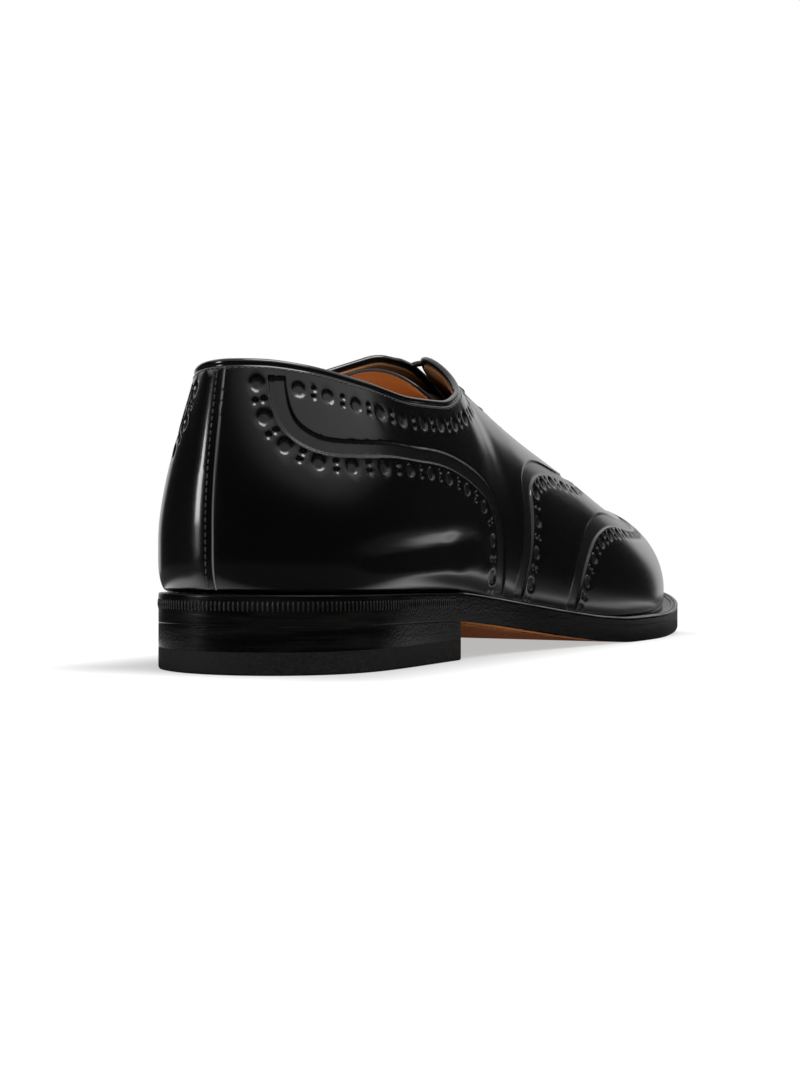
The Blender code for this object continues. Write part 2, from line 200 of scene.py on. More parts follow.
# The ground behind is white to the camera. What the leather mirrors is a dark studio, a white backdrop
# past the toe, between two headings, and a lit ceiling that begins above the horizon, lowest to the
# right of the camera. A dark flag beside the toe holds part of it off.
ROOM_GLOW = 0.018
CEILING_GLOW = 0.72
CEILING_TILT = (0.057, -0.082, 1.0)
CEILING_START = 0.33
CEILING_END = 0.56
FLAG_MIDDLE = math.radians(-26)
FLAG_START = math.radians(10)
FLAG_END = math.radians(18)
FLAG_DEPTH = 0.14
BACKDROP_GLOW = 0.65
BACKDROP_MIDDLE = math.radians(28)
BACKDROP_START = math.radians(26)
BACKDROP_END = math.radians(34)
room = bpy.data.worlds.new("room")
bpy.context.scene.world = room
room.use_nodes = True
room_tree = room.node_tree
room_light = room_tree.nodes["Background"]
room_light.inputs["Color"].default_value = WHITE
white_ground = add_node(room_tree, "ShaderNodeBackground", {"Color": WHITE, "Strength": 1.0})
look = add_node(room_tree, "ShaderNodeTexCoord").outputs["Generated"]
look_parts = add_node(room_tree, "ShaderNodeSeparateXYZ", {0: look})
heading = calculate(room_tree, "ARCTAN2", look_parts.outputs["Y"], look_parts.outputs["X"])


def off_heading(middle):
    """Angle between the heading of a look and a middle one, to either side."""
    return calculate(room_tree, "ABSOLUTE", calculate(room_tree, "SUBTRACT", heading, middle))


flag = fade(room_tree, off_heading(FLAG_MIDDLE), FLAG_START, FLAG_END, FLAG_DEPTH, 0.0, "SMOOTHSTEP")
ceiling_height = calculate_vector(room_tree, "DOT_PRODUCT", look, CEILING_TILT)
held_off = calculate(room_tree, "SUBTRACT", ceiling_height, flag)
ceiling = fade(room_tree, held_off, CEILING_START, CEILING_END, ROOM_GLOW, CEILING_GLOW, "SMOOTHSTEP")
off_backdrop = off_heading(BACKDROP_MIDDLE)
backdrop = fade(room_tree, off_backdrop, BACKDROP_START, BACKDROP_END, BACKDROP_GLOW, 0.0, "SMOOTHSTEP")
link(room, calculate(room_tree, "MAXIMUM", ceiling, backdrop), room_light, "Strength")
ray_kind = add_node(room_tree, "ShaderNodeLightPath")
seen_or_lit = add_node(room_tree, "ShaderNodeMixShader", {
    0: ray_kind.outputs["Is Camera Ray"], 1: room_light.outputs[0], 2: white_ground.outputs[0],
})
link(room, seen_or_lit.outputs[0], room_tree.nodes["World Output"], "Surface")

# Soft boxes: place, point they face, width, height, power.
SOFT_BOXES = {
    "box_above": ((-0.1, -0.3, 1.0), (0.0, 0.0, 0.0), 0.75, 0.6, 10.0),
    "box_left": ((-0.78, 0.85, 0.24), (-0.14, 0.0, 0.06), 0.28, 0.34, 2.95),
    "light_inside": ((-0.065, -0.002, 0.045), (-0.035, 0.002, 0.085), 0.04, 0.025, 0.012),
}
for name, (place, facing, width, height, power) in SOFT_BOXES.items():
    aim = Vector(facing) - Vector(place)
    bpy.ops.object.light_add(
        type="AREA", location=place, rotation=aim.to_track_quat("-Z", "Y").to_euler())
    soft_box = bpy.context.object
    soft_box.name = name
    soft_box.data.shape = "RECTANGLE"
    soft_box.data.size = width
    soft_box.data.size_y = height
    soft_box.data.energy = power


# Insole
# A sole of tan leather that carries the foot, cut to the feather line of the last. The upper is
# pulled round its edge and sewn to it from below.
MILLIMETRE = 0.001
LAST_ORIGIN = np.array([149.573867, 2.697904, 0.0])
LATERAL = -1
MEDIAL = 1
OUTSOLE_THICKNESS = 5.5
WELT_THICKNESS = 2.4
CLEARANCE = 0.3
INSOLE_THICKNESS = 3.0
INSOLE_MARGIN = 2.7
INSOLE_COLUMNS = 114
INSOLE_ROWS = 14

# Underside of the outsole: distance from the back of the heel and height above the floor.
UNDERSIDE = [
    (0.0, 12.6),
    (40.0, 12.1),
    (79.0, 11.2),
    (100.0, 9.4),
    (125.0, 6.4),
    (150.0, 3.2),
    (172.0, 0.9),
    (190.0, 0.0),
    (215.0, 0.0),
    (240.0, 0.7),
    (262.0, 2.4),
    (280.0, 4.6),
    (300.0, 8.0),
]

# Sections of the last from the middle of the heel to the tip of the toe; a place along the shoe is
# the number of its section. Each is a rib that rises from the feather line to the cone of the last.
SECTION_COLUMNS = (
    "foot_x", "lateral_y", "medial_y", "welt", "top_x", "half_top", "top_z", "centre_y",
    "rise", "swell", "drop", "reach", "collar_z", "medial_lift",
)
SECTIONS = [
    (2.2, 0.0, 0.0, 2.4, 9.5, 0.0, 107.0, 0.0, 20.0, 8.2, 34.0, 4.5, 82.4, 0.0),
    (6.0, -14.8, 14.8, 2.4, 12.5, 6.0, 107.0, 0.0, 20.0, 8.4, 34.0, 4.0, 82.3, 0.0),
    (17.0, -26.2, 26.2, 2.4, 21.0, 12.0, 107.0, 0.0, 20.0, 8.8, 34.0, 6.0, 81.0, 0.2),
    (34.0, -30.9, 30.7, 2.4, 37.0, 14.8, 107.0, 0.0, 21.0, 9.0, 32.0, 11.0, 78.0, 1.0),
    (56.0, -31.4, 30.4, 2.2, 57.0, 16.0, 106.0, 0.0, 22.0, 9.0, 30.0, 13.0, 75.2, 3.4),
    (78.0, -31.2, 29.2, 2.0, 77.0, 15.5, 104.0, 0.0, 23.5, 8.2, 27.0, 13.6, 75.6, 6.5),
    (97.0, -31.8, 27.6, 1.6, 93.5, 13.0, 100.6, 0.0, 26.0, 7.4, 20.0, 14.4, 79.4, 9.0),
    (111.0, -32.6, 27.0, 1.6, 105.0, 7.6, 96.8, 0.4, 29.0, 6.8, 12.5, 16.6, 85.2, 7.6),
    (122.5, -33.8, 27.6, 1.8, 115.4, 2.6, 93.5, 1.2, 31.0, 6.2, 7.4, 19.4, 93.5, 0.0),
    (136.5, -35.8, 29.4, 2.2, 130.5, 0.5, 87.4, 1.5, 31.0, 6.0, 4.6, 21.6, 87.4, 0.0),
    (155.0, -38.6, 34.0, 2.8, 151.0, 0.4, 79.2, 2.1, 29.0, 5.4, 3.0, 23.5, 79.2, 0.0),
    (176.0, -41.2, 40.2, 3.8, 172.0, 0.35, 71.4, 2.8, 27.0, 5.0, 1.6, 26.5, 71.4, 0.0),
    (193.0, -42.6, 44.6, 4.4, 189.0, 0.0, 65.0, 3.4, 25.0, 4.6, 0.2, 29.0, 65.0, 0.0),
    (212.0, -42.6, 47.8, 4.8, 208.0, 0.0, 57.8, 3.8, 23.0, 4.4, 0.3, 29.5, 57.8, 0.0),
    (232.0, -40.2, 46.8, 5.2, 226.0, 0.0, 52.6, 4.0, 22.0, 4.4, 0.8, 28.0, 52.6, 0.0),
    (250.0, -36.0, 42.4, 5.6, 241.0, 0.0, 50.4, 4.0, 21.0, 4.2, 0.8, 26.0, 50.4, 0.0),
    (266.0, -30.2, 35.6, 6.0, 253.0, 0.0, 49.6, 4.0, 20.0, 4.0, 1.0, 24.0, 49.6, 0.0),
    (280.0, -22.4, 27.6, 6.2, 262.0, 0.0, 48.9, 3.8, 19.0, 3.6, 1.5, 22.0, 48.9, 0.0),
    (289.5, -11.8, 17.0, 6.4, 267.0, 0.0, 48.5, 3.4, 18.5, 3.2, 1.9, 20.5, 48.5, 0.0),
    (293.4, 2.6, 2.6, 6.5, 269.0, 0.0, 48.3, 3.0, 18.0, 3.0, 2.1, 20.0, 48.3, 0.0),
]
# Columns that cross the middle of heel and toe at a slant, and columns that must not swing past
# their values.
SLANTED_COLUMNS = ("lateral_y", "medial_y")
STEADY_COLUMNS = ("half_top", "collar_z", "medial_lift")
TOE_PLACE = len(SECTIONS) - 1
SMALL_STEP = 0.001


def smooth_curve(places, values, level_ends=False):
    """Cubic spline through the values, with level or straight ends, as a function of the place."""
    places = np.asarray(places, float)
    values = np.asarray(values, float)
    count = len(places)
    spans = np.diff(places)
    slopes = np.diff(values) / spans
    matrix = np.zeros((count, count))
    target = np.zeros(count)
    for i in range(1, count - 1):
        matrix[i, i - 1] = spans[i - 1]
        matrix[i, i] = 2 * (spans[i - 1] + spans[i])
        matrix[i, i + 1] = spans[i]
        target[i] = 6 * (slopes[i] - slopes[i - 1])
    matrix[0, 0] = matrix[-1, -1] = 1
    if level_ends:
        matrix[0, :2] = 2 * spans[0], spans[0]
        matrix[-1, -2:] = spans[-1], 2 * spans[-1]
        target[0] = 6 * slopes[0]
        target[-1] = -6 * slopes[-1]
    bends = np.linalg.solve(matrix, target)

    def curve(place):
        """Value at a place."""
        place = np.asarray(place, float)
        i = np.clip(np.searchsorted(places, place) - 1, 0, count - 2)
        span = spans[i]
        after = place - places[i]
        before = places[i + 1] - place
        cubic = (bends[i] * before ** 3 + bends[i + 1] * after ** 3) / (6 * span)
        start = (values[i] / span - bends[i] * span / 6) * before
        end = (values[i + 1] / span - bends[i + 1] * span / 6) * after
        return cubic + start + end

    return curve


def steady_curve(places, values):
    """Cubic curve through the values that never swings past them, as a function of the place."""
    places = np.asarray(places, float)
    values = np.asarray(values, float)
    count = len(places)
    spans = np.diff(places)
    slopes = np.diff(values) / spans
    tangents = np.zeros(count)
    tangents[0] = slopes[0]
    tangents[-1] = slopes[-1]
    for i in range(1, count - 1):
        if slopes[i - 1] * slopes[i] > 0:
            late = 2 * spans[i] + spans[i - 1]
            early = spans[i] + 2 * spans[i - 1]
            tangents[i] = (late + early) / (late / slopes[i - 1] + early / slopes[i])

    def curve(place):
        """Value at a place."""
        place = np.asarray(place, float)
        i = np.clip(np.searchsorted(places, place) - 1, 0, count - 2)
        span = spans[i]
        t = (place - places[i]) / span
        start = values[i] * (1 + 2 * t) * (1 - t) ** 2 + tangents[i] * span * t * (1 - t) ** 2
        end = values[i + 1] * t * t * (3 - 2 * t) + tangents[i + 1] * span * t * t * (t - 1)
        return start + end

    return curve


section_places = np.arange(len(SECTIONS))
section_curves = {}
for column, values in zip(SECTION_COLUMNS, np.array(SECTIONS).T):
    if column in STEADY_COLUMNS:
        section_curves[column] = steady_curve(section_places, values)
    else:
        section_curves[column] = smooth_curve(section_places, values, column not in SLANTED_COLUMNS)
underside_curve = steady_curve(*np.array(UNDERSIDE).T)


def underside(x):
    """Height of the outsole's underside."""
    return underside_curve(np.clip(x, UNDERSIDE[0][0], UNDERSIDE[-1][0]))


def welt_top(x):
    """Height of the welt's upper face."""
    return underside(x) + OUTSOLE_THICKNESS + CLEARANCE + WELT_THICKNESS


def feather_point(place, side):
    """Plan position of the feather line and its outward direction."""
    foot_x = section_curves["foot_x"]
    foot_y = section_curves["lateral_y" if side == LATERAL else "medial_y"]
    along_x = foot_x(place + SMALL_STEP) - foot_x(place - SMALL_STEP)
    along_y = foot_y(place + SMALL_STEP) - foot_y(place - SMALL_STEP)
    length = np.hypot(along_x, along_y)
    return foot_x(place), foot_y(place), -side * along_y / length, side * along_x / length


def edge_line(place, side, offset):
    """Plan position of a line that runs beside the feather line, outwards by the offset."""
    x, y, out_x, out_y = feather_point(place, side)
    return np.stack([x + out_x * offset, y + out_y * offset], axis=-1)


def put_points(piece, points):
    """Moves the points of a piece to places on the last."""
    placed = (np.asarray(points) - LAST_ORIGIN) * MILLIMETRE
    piece.data.vertices.foreach_set("co", placed.astype(np.float32).ravel())
    piece.data.update()


def flat_sheet(name, columns, rows):
    """A flat grid; gives the piece and its points' columns and rows."""
    bpy.ops.object.select_all(action="DESELECT")
    bpy.ops.mesh.primitive_grid_add(x_subdivisions=columns, y_subdivisions=rows, size=1)
    sheet = bpy.context.object
    sheet.name = name
    sheet.data.name = name
    points = sheet_points(sheet)
    return sheet, (points[:, 0] + 0.5) * columns, (points[:, 1] + 0.5) * rows


def sheet_points(piece):
    """Points of a piece as an array."""
    points = np.zeros(len(piece.data.vertices) * 3, np.float32)
    piece.data.vertices.foreach_get("co", points)
    return points.reshape(-1, 3).astype(float)


def join_doubles(piece, distance):
    """Merges points of a piece that lie together and turns its faces outwards."""
    bpy.ops.object.select_all(action="DESELECT")
    piece.select_set(True)
    bpy.context.view_layer.objects.active = piece
    bpy.ops.object.mode_set(mode="EDIT")
    bpy.ops.mesh.select_all(action="SELECT")
    bpy.ops.mesh.remove_doubles(threshold=distance * MILLIMETRE)
    bpy.ops.mesh.dissolve_degenerate(threshold=distance * MILLIMETRE)
    bpy.ops.mesh.normals_make_consistent(inside=False)
    bpy.ops.object.mode_set(mode="OBJECT")


def finish_with(piece, kind, **settings):
    """Adds a modifier to a piece and applies it."""
    bpy.context.view_layer.objects.active = piece
    modifier = piece.modifiers.new(kind.title(), kind)
    for setting, value in settings.items():
        setattr(modifier, setting, value)
    bpy.ops.object.modifier_apply(modifier=modifier.name)


def new_finish(name, colour, roughness):
    """A leather, rubber or cotton with its shader ready for nodes."""
    finish = bpy.data.materials.new(name)
    finish.use_nodes = True
    shader = finish.node_tree.nodes["Principled BSDF"]
    shader.inputs["Base Color"].default_value = (*colour, 1)
    shader.inputs["Roughness"].default_value = roughness
    return finish, shader


# Grain that every leather here shares: a net of fine pores and a slow drift of tone.
leather_grain = bpy.data.node_groups.new("leather_grain", "ShaderNodeTree")
GRAIN_SOCKETS = {
    "Pores per metre": "INPUT", "Drift per metre": "INPUT", "Height": "OUTPUT", "Drift": "OUTPUT",
}
for socket, direction in GRAIN_SOCKETS.items():
    leather_grain.interface.new_socket(socket, in_out=direction, socket_type="NodeSocketFloat")
grain_in = add_node(leather_grain, "NodeGroupInput")
grain_place = add_node(leather_grain, "ShaderNodeTexCoord").outputs["Object"]
pores = add_node(leather_grain, "ShaderNodeTexVoronoi", {
    "Vector": grain_place, "Scale": grain_in.outputs["Pores per metre"],
}, feature="F2")
folds = add_node(leather_grain, "ShaderNodeTexNoise", {
    "Vector": grain_place, "Scale": grain_in.outputs["Pores per metre"], "Detail": 3.0,
})
drift = add_node(leather_grain, "ShaderNodeTexNoise", {
    "Vector": grain_place, "Scale": grain_in.outputs["Drift per metre"], "Detail": 4.0,
})
pore_height = calculate(leather_grain, "ADD", pores.outputs["Distance"], folds.outputs["Fac"])
add_node(leather_grain, "NodeGroupOutput", {"Height": pore_height, "Drift": drift.outputs["Fac"]})


def grain_node(finish, pores_per_metre, drift_per_metre):
    """The shared grain, placed in a finish."""
    return add_node(finish.node_tree, "ShaderNodeGroup", {
        "Pores per metre": pores_per_metre, "Drift per metre": drift_per_metre,
    }, node_tree=leather_grain)


def spread(finish, source, low, high, start=0.3, end=0.7):
    """A value between low and high that follows a mask."""
    return fade(finish.node_tree, source, start, end, low, high)


def tint(finish, source, first, second, start=0.3, end=0.7):
    """A colour between two that follows a mask."""
    share = spread(finish, source, 0.0, 1.0, start, end)
    return mix_colours(finish.node_tree, share, (*first, 1), (*second, 1))


def bump(finish, height, strength, depth):
    """Normal of a surface that a height roughens."""
    return add_node(finish.node_tree, "ShaderNodeBump", {
        "Height": height, "Strength": strength, "Distance": depth,
    }).outputs["Normal"]


def add_grain(finish, shader, grain, tones, rough=None, relief=None):
    """Gives a finish the shared grain, by its pores and drift per metre, and returns its tone. The tone
    and the roughness drift between two values each; relief is the strength and depth of the pores."""
    node = grain_node(finish, *grain)
    tone = tint(finish, node.outputs["Drift"], *tones)
    link(finish, tone, shader, "Base Color")
    if rough is not None:
        link(finish, spread(finish, node.outputs["Drift"], *rough), shader, "Roughness")
    if relief is not None:
        link(finish, bump(finish, node.outputs["Height"], *relief), shader, "Normal")
    return tone


TAN = (0.46, 0.16, 0.04)
TAN_DARK = (0.33, 0.1, 0.022)
TAN_GRAIN = (1600.0, 38.0)
TAN_SPECULAR = 0.2
tan_lining, tan_shader = new_finish("tan_lining", TAN, roughness=0.55)
add_grain(tan_lining, tan_shader, TAN_GRAIN, (TAN_DARK, TAN), rough=(0.45, 0.65), relief=(0.35, 0.0002))
tan_shader.inputs["Specular IOR Level"].default_value = TAN_SPECULAR

insole, along, across = flat_sheet("insole_leather", INSOLE_COLUMNS, INSOLE_ROWS)
insole_place = along / INSOLE_COLUMNS * TOE_PLACE
insole_share = (across / INSOLE_ROWS)[:, None]
insole_plan = (
    edge_line(insole_place, LATERAL, -INSOLE_MARGIN) * (1 - insole_share)
    + edge_line(insole_place, MEDIAL, -INSOLE_MARGIN) * insole_share
)
insole_height = welt_top(insole_plan[:, 0]) + CLEARANCE + INSOLE_THICKNESS
put_points(insole, np.column_stack([insole_plan, insole_height]))
join_doubles(insole, distance=0.02)
finish_with(insole, "SOLIDIFY", thickness=INSOLE_THICKNESS * MILLIMETRE, offset=-1.0)
bpy.ops.object.shade_smooth_by_angle(angle=math.radians(40))
insole.data.materials.append(tan_lining)
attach(insole, "root")
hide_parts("insole")


# Upper
# One whole piece of black calf, pulled over the last and sewn up the back. The brogue pattern is
# pressed into it: flat channels, and rows of round dents with pairs of small dots between them.
TURNS = 2 * TOE_PLACE
FACING_PLACE = 8
THROAT_PLACE = 12
COLLAR_SEARCH_ROUNDS = 40
# The top corners of the facings are cut round: share of the height that is lost, and how far along.
CORNER_CUT = 0.022
CORNER_REACH = 0.3
CORNER_ROUND = 1.5
# In front of this place the facings lie closed, and the edge runs along the ribs.
CLOSING_PLACE = 11
# The calf turns up from the feather line in a quarter round to its greatest width: places along the
# shoe, and how high the round is.
ROUND_HEIGHTS = [(0, 10.0), (2, 8.5), (4, 8.5), (6, 11.0), (8, 13.0), (10, 10.0), (19, 9.0)]
round_height = steady_curve(*np.array(ROUND_HEIGHTS, float).T)
# The calf as a shell: how finely it is divided, how far its two faces lie out of the last's surface, and
# the rolled rim, from the outside over its top to the inside: how far below the edge, and how far out.
CALF_SHELL = {
    "columns": 7 * TURNS,
    "rows": 30,
    "inner_rows": 8,
    "outer": 0.0,
    "inner": -1.3,
    "top": 9,
    "rim": [
        (-2.6, 0.0), (-2.25, 0.0), (-2.05, -0.3), (-1.9, -0.32), (-1.72, 0.02), (-1.35, 0.25),
        (-0.85, 0.28), (-0.4, 0.08), (-0.1, -0.4), (0.0, -0.95), (-0.12, -1.45), (-0.5, -1.78),
        (-1.1, -1.85), (-1.9, -1.7), (-2.3, -1.35),
    ],
}


def eased(value):
    """Smooth rise from 0 to 1."""
    value = np.clip(value, 0, 1)
    return value * value * (3 - 2 * value)


def whole_rib(place, side):
    """The four points that shape the rib of the last, and its outward direction."""
    value = {column: curve(place) for column, curve in section_curves.items()}
    x, y, out_x, out_y = feather_point(place, side)
    out = np.stack([out_x, out_y], axis=-1)
    foot = np.stack([x, y, welt_top(x) + CLEARANCE], axis=-1)
    top_y = value["centre_y"] + side * value["half_top"]
    top = np.stack([value["top_x"], top_y, value["top_z"]], axis=-1)
    lower = foot + np.stack([out_x * value["swell"], out_y * value["swell"], value["rise"]], axis=-1)
    upper_end = top + np.stack([out_x * value["reach"], out_y * value["reach"], -value["drop"]], axis=-1)
    collar_z = value["collar_z"] + (value["medial_lift"] if side == MEDIAL else 0)
    return (foot, lower, upper_end, top), out, collar_z


def on_rib(ends, share):
    """Point of a rib, from its foot at 0 to its top at 1."""
    foot, lower, upper_end, top = ends
    rest = 1 - share
    return (rest ** 3 * foot + 3 * share * rest ** 2 * lower
            + 3 * share ** 2 * rest * upper_end + share ** 3 * top)


# Where each rib is widest: how far out of the feather line, and how high above it. It is looked for in
# the lower share of the rib.
RIBS_PER_PLACE = 20
RIB_LOOK_SHARE = 0.7
RIB_LOOK_COUNT = 141
widest_places = np.linspace(0, TOE_PLACE, RIBS_PER_PLACE * TOE_PLACE + 1)
widest_out = {}
widest_height = {}
for side in (LATERAL, MEDIAL):
    ends, out, _ = whole_rib(widest_places, side)
    steps = np.linspace(0, RIB_LOOK_SHARE, RIB_LOOK_COUNT)[:, None, None]
    gone = on_rib(ends, steps) - ends[0]
    gone_out = np.einsum("ijk,jk->ij", gone[..., :2], out)
    highest = gone_out.argmax(axis=0)
    widest_out[side] = gone_out.max(axis=0)
    widest_height[side] = gone[highest, np.arange(len(highest)), 2]


def along_rib(place, side, step):
    """Point of the upper on one side, from the feather line at 0 to the collar, facing or ridge at 1."""
    ends, out, collar_z = whole_rib(place, side)
    low = np.zeros_like(place)
    high = np.ones_like(place)
    for _ in range(COLLAR_SEARCH_ROUNDS):
        half = (low + high) / 2
        half_z = on_rib([end[..., 2] for end in ends], half)
        low = np.where(half_z < collar_z, half, low)
        high = np.where(half_z < collar_z, high, half)
    cut = np.where(place < FACING_PLACE, high, 1.0)
    cut = cut * (1 - CORNER_CUT * np.exp(-np.abs((place - FACING_PLACE) / CORNER_REACH) ** CORNER_ROUND))
    points = on_rib(ends, (step * cut)[..., None])
    risen = points[..., 2] - ends[0][..., 2]
    gone_out = np.einsum("ij,ij->i", (points - ends[0])[..., :2], out)
    short = 1 - np.clip(risen / round_height(np.abs(place)), 0, 1)
    rounded = np.interp(place, widest_places, widest_out[side]) * np.sqrt(1 - short ** 2)
    is_low = risen < np.interp(place, widest_places, widest_height[side])
    points[..., :2] += out * np.where(is_low, np.maximum(rounded - gone_out, 0), 0)[..., None]
    return points


def calf_point(turn, step):
    """Point of the upper's outer face. A turn runs along the lateral side to the toe and back along
    the medial side; a step runs from 0 at the feather line to 1 at the collar, facing or ridge."""
    turn = np.asarray(turn, float)
    step = np.asarray(step, float)
    is_lateral = turn <= TOE_PLACE
    points = np.zeros((*turn.shape, 3))
    points[is_lateral] = along_rib(turn[is_lateral], LATERAL, step[is_lateral])
    points[~is_lateral] = along_rib(TURNS - turn[~is_lateral], MEDIAL, step[~is_lateral])
    return points


def unit(vectors):
    """The vectors at length one."""
    return vectors / np.linalg.norm(vectors, axis=-1, keepdims=True)


def calf_frame(turn, step):
    """Directions along the shoe and up its side, with their lengths, and the outward normal."""
    forward = (calf_point(turn + SMALL_STEP, step) - calf_point(turn - SMALL_STEP, step)) / (2 * SMALL_STEP)
    upward = (calf_point(turn, step + SMALL_STEP) - calf_point(turn, step - SMALL_STEP)) / (2 * SMALL_STEP)
    return forward, upward, unit(np.cross(forward, upward))


def shoe_place(turn):
    """Place along the shoe of a turn, on either side."""
    return np.where(turn <= TOE_PLACE, turn, TURNS - turn)


def beside_edge(turn, below):
    """Turn and step of points that lie square below the upper's edge by a distance."""
    edge = np.ones_like(turn)
    forward, upward, normal = calf_frame(turn, edge)
    shift = unit(np.cross(normal, forward)) * np.asarray(below)[..., None]
    along_along = np.einsum("ij,ij->i", forward, forward)
    along_up = np.einsum("ij,ij->i", forward, upward)
    up_up = np.einsum("ij,ij->i", upward, upward)
    shift_along = np.einsum("ij,ij->i", shift, forward)
    shift_up = np.einsum("ij,ij->i", shift, upward)
    area = along_along * up_up - along_up ** 2
    turn_change = (shift_along * up_up - shift_up * along_up) / area
    step_change = (shift_up * along_along - shift_along * along_up) / area
    closed = eased(shoe_place(turn) - CLOSING_PLACE)
    step_along_rib = below / np.sqrt(up_up)
    turn_change = np.where(closed < 1, turn_change * (1 - closed), 0)
    step_change = np.where(closed < 1, step_change * (1 - closed), 0) + step_along_rib * closed
    return turn + turn_change, edge + step_change


def lengths_along(points):
    """Length of a line up to each of its points."""
    return np.concatenate([[0], np.cumsum(np.linalg.norm(np.diff(points, axis=0), axis=1))])


def seam_line(table, side, count=400):
    """A line of the pattern from its table of places and steps: points that lie evenly, and directions
    along it and across it."""
    marks = np.arange(len(table))
    place_curve = smooth_curve(marks, [place for place, _ in table])
    step_curve = smooth_curve(marks, [step for _, step in table])

    def turn_step(mark):
        """Turn and step at marks with fractions."""
        place = place_curve(mark)
        return TURNS - place if side == MEDIAL else place, step_curve(mark)

    fine = np.linspace(0, len(table) - 1, 4 * count)
    lengths = lengths_along(calf_point(*turn_step(fine)))
    even = np.interp(np.linspace(0, lengths[-1], count), lengths, fine)
    points = calf_point(*turn_step(even))
    along = unit(np.gradient(points, axis=0))
    across = unit(np.cross(calf_frame(*turn_step(even))[2], along))
    return points, along, across


# Lines of the pattern: places along the shoe and steps up its side, middle of the channel, and how
# wide the channel is at each mark. The dents lie on the side towards heel or toe.
COUNTER_LINE = [
    (1.32, 0.925), (1.33, 0.86), (1.40, 0.787), (1.58, 0.73), (1.90, 0.692), (2.30, 0.685),
    (2.90, 0.704), (3.50, 0.723), (4.30, 0.72), (5.05, 0.677), (5.70, 0.59), (6.30, 0.474),
    (6.57, 0.361), (6.65, 0.25), (6.62, 0.147), (6.60, 0.05), (6.58, -0.02),
]
COUNTER_WIDTHS = (3.7, 3.6, 3.5, 3.4, 3.3, 3.2, 3.2, 3.2, 3.3, 3.5, 3.8, 4.2, 4.6, 4.8, 4.8, 4.8, 4.8)
VAMP_LINE = [
    (7.66, -0.02), (7.74, 0.04), (7.92, 0.095), (8.15, 0.158), (8.41, 0.243), (8.68, 0.33),
    (8.92, 0.402), (9.31, 0.468), (9.83, 0.533), (10.42, 0.585), (11.0, 0.605), (11.6, 0.632),
    (12.1, 0.70), (12.4, 0.80), (12.55, 0.90), (12.6, 1.0),
]
VAMP_WIDTHS = (4.6,) * len(VAMP_LINE)
WING_LINE = [
    (9.80, -0.02), (9.88, 0.03), (9.98, 0.085), (10.14, 0.155), (10.42, 0.24), (10.90, 0.335),
    (11.5, 0.40), (12.1, 0.445), (13.0, 0.50), (14.0, 0.545), (15.0, 0.59), (15.8, 0.655),
    (16.1, 0.745), (15.7, 0.86), (14.9, 0.95), (14.2, 1.0),
]
WING_WIDTHS = (4.8,) * len(WING_LINE)
COLLAR_ROW = [
    (1.72, 0.895), (2.2, 0.886), (3.1, 0.872), (4.1, 0.873), (5.2, 0.872), (6.0, 0.866),
    (6.7, 0.838), (7.3, 0.79), (7.9, 0.752), (8.5, 0.735), (9.2, 0.742), (10.0, 0.752),
    (10.8, 0.762), (11.3, 0.772),
]
CHANNEL_DEPTH = 0.55
CHANNEL_WALL = 0.7
CHANNEL_LIP = 0.1
LIP_FADE = 0.6
LIP_END = 8.0
# Past this distance from its middle line a channel has no part in a point.
CHANNEL_REACH = 12.0
# How dull the flats of channels and dents are, and how wide the step to the gloss is.
CHANNEL_SATIN = 0.45
CHANNEL_SATIN_STEP = 0.3
DENT_SATIN = 0.65
DENT_SATIN_STEP = 0.4
ROW_FROM_CHANNEL = 3.5
ROW_START = 1.0
DENT_SPACING = 10.6
COUNTER_GAPS = (9.4, 9.4, 10.0, 10.4, 12.4, 12.8, 12.4, 12.2, 12.2, 12.2, 11.8, 11.0, 9.2)
COLLAR_GAPS = (8.7, 9.6, 9.6, 10.1, 12.6, 11.4, 10.6)
DENT_FLAT = 1.5
DENT_WALL = 0.4
DENT_DEPTH = 0.32
DENT_PULL = 0.2
DENT_PULL_WIDTH = 1.4
DOT_RADIUS = 1.25
DOT_DEPTH = 0.52
DOT_FROM_ROW = 1.12

channel_points = []
channel_along = []
channel_across = []
channel_halves = []
channel_starts = []
dent_points = []
dot_points = []


def at_length(place, lengths, values):
    """Values at a place along a line."""
    return np.array([np.interp(place, lengths, column) for column in values.T])


def press_row(points, across, first, gaps=(DENT_SPACING,)):
    """Dents and pairs of dots along a row: where the first dent lies, and the gaps from dent to dent, the
    last of which repeats."""
    lengths = lengths_along(points)
    place = first
    number = 0
    while place <= lengths[-1]:
        dent_points.append(at_length(place, lengths, points))
        gap = gaps[min(number, len(gaps) - 1)]
        between = place + gap / 2
        if between <= lengths[-1]:
            middle = at_length(between, lengths, points)
            square = at_length(between, lengths, across)
            dot_points.append(middle + square * DOT_FROM_ROW)
            dot_points.append(middle - square * DOT_FROM_ROW)
        place += gap
        number += 1


def press_line(table, widths, from_ridge, gaps=(DENT_SPACING,), medial_shift=0.0):
    """A channel with its row of dents, on both sides of the shoe."""
    for side in (LATERAL, MEDIAL):
        shift = medial_shift if side == MEDIAL else 0
        marks = [(place + shift, step) for place, step in table]
        points, along, across = seam_line(marks, side)
        towards_row = across * side
        halves = np.interp(np.linspace(0, 1, len(points)), np.linspace(0, 1, len(widths)), widths) / 2
        channel_points.extend(points)
        channel_along.extend(along)
        channel_across.extend(towards_row)
        channel_halves.extend(halves)
        channel_starts.extend(np.arange(len(points)) == 0)
        row = points + towards_row * (halves + ROW_FROM_CHANNEL)[:, None]
        if from_ridge:
            press_row(row[::-1], towards_row[::-1], DENT_SPACING / 2, gaps)
        else:
            press_row(row, towards_row, ROW_START, gaps)


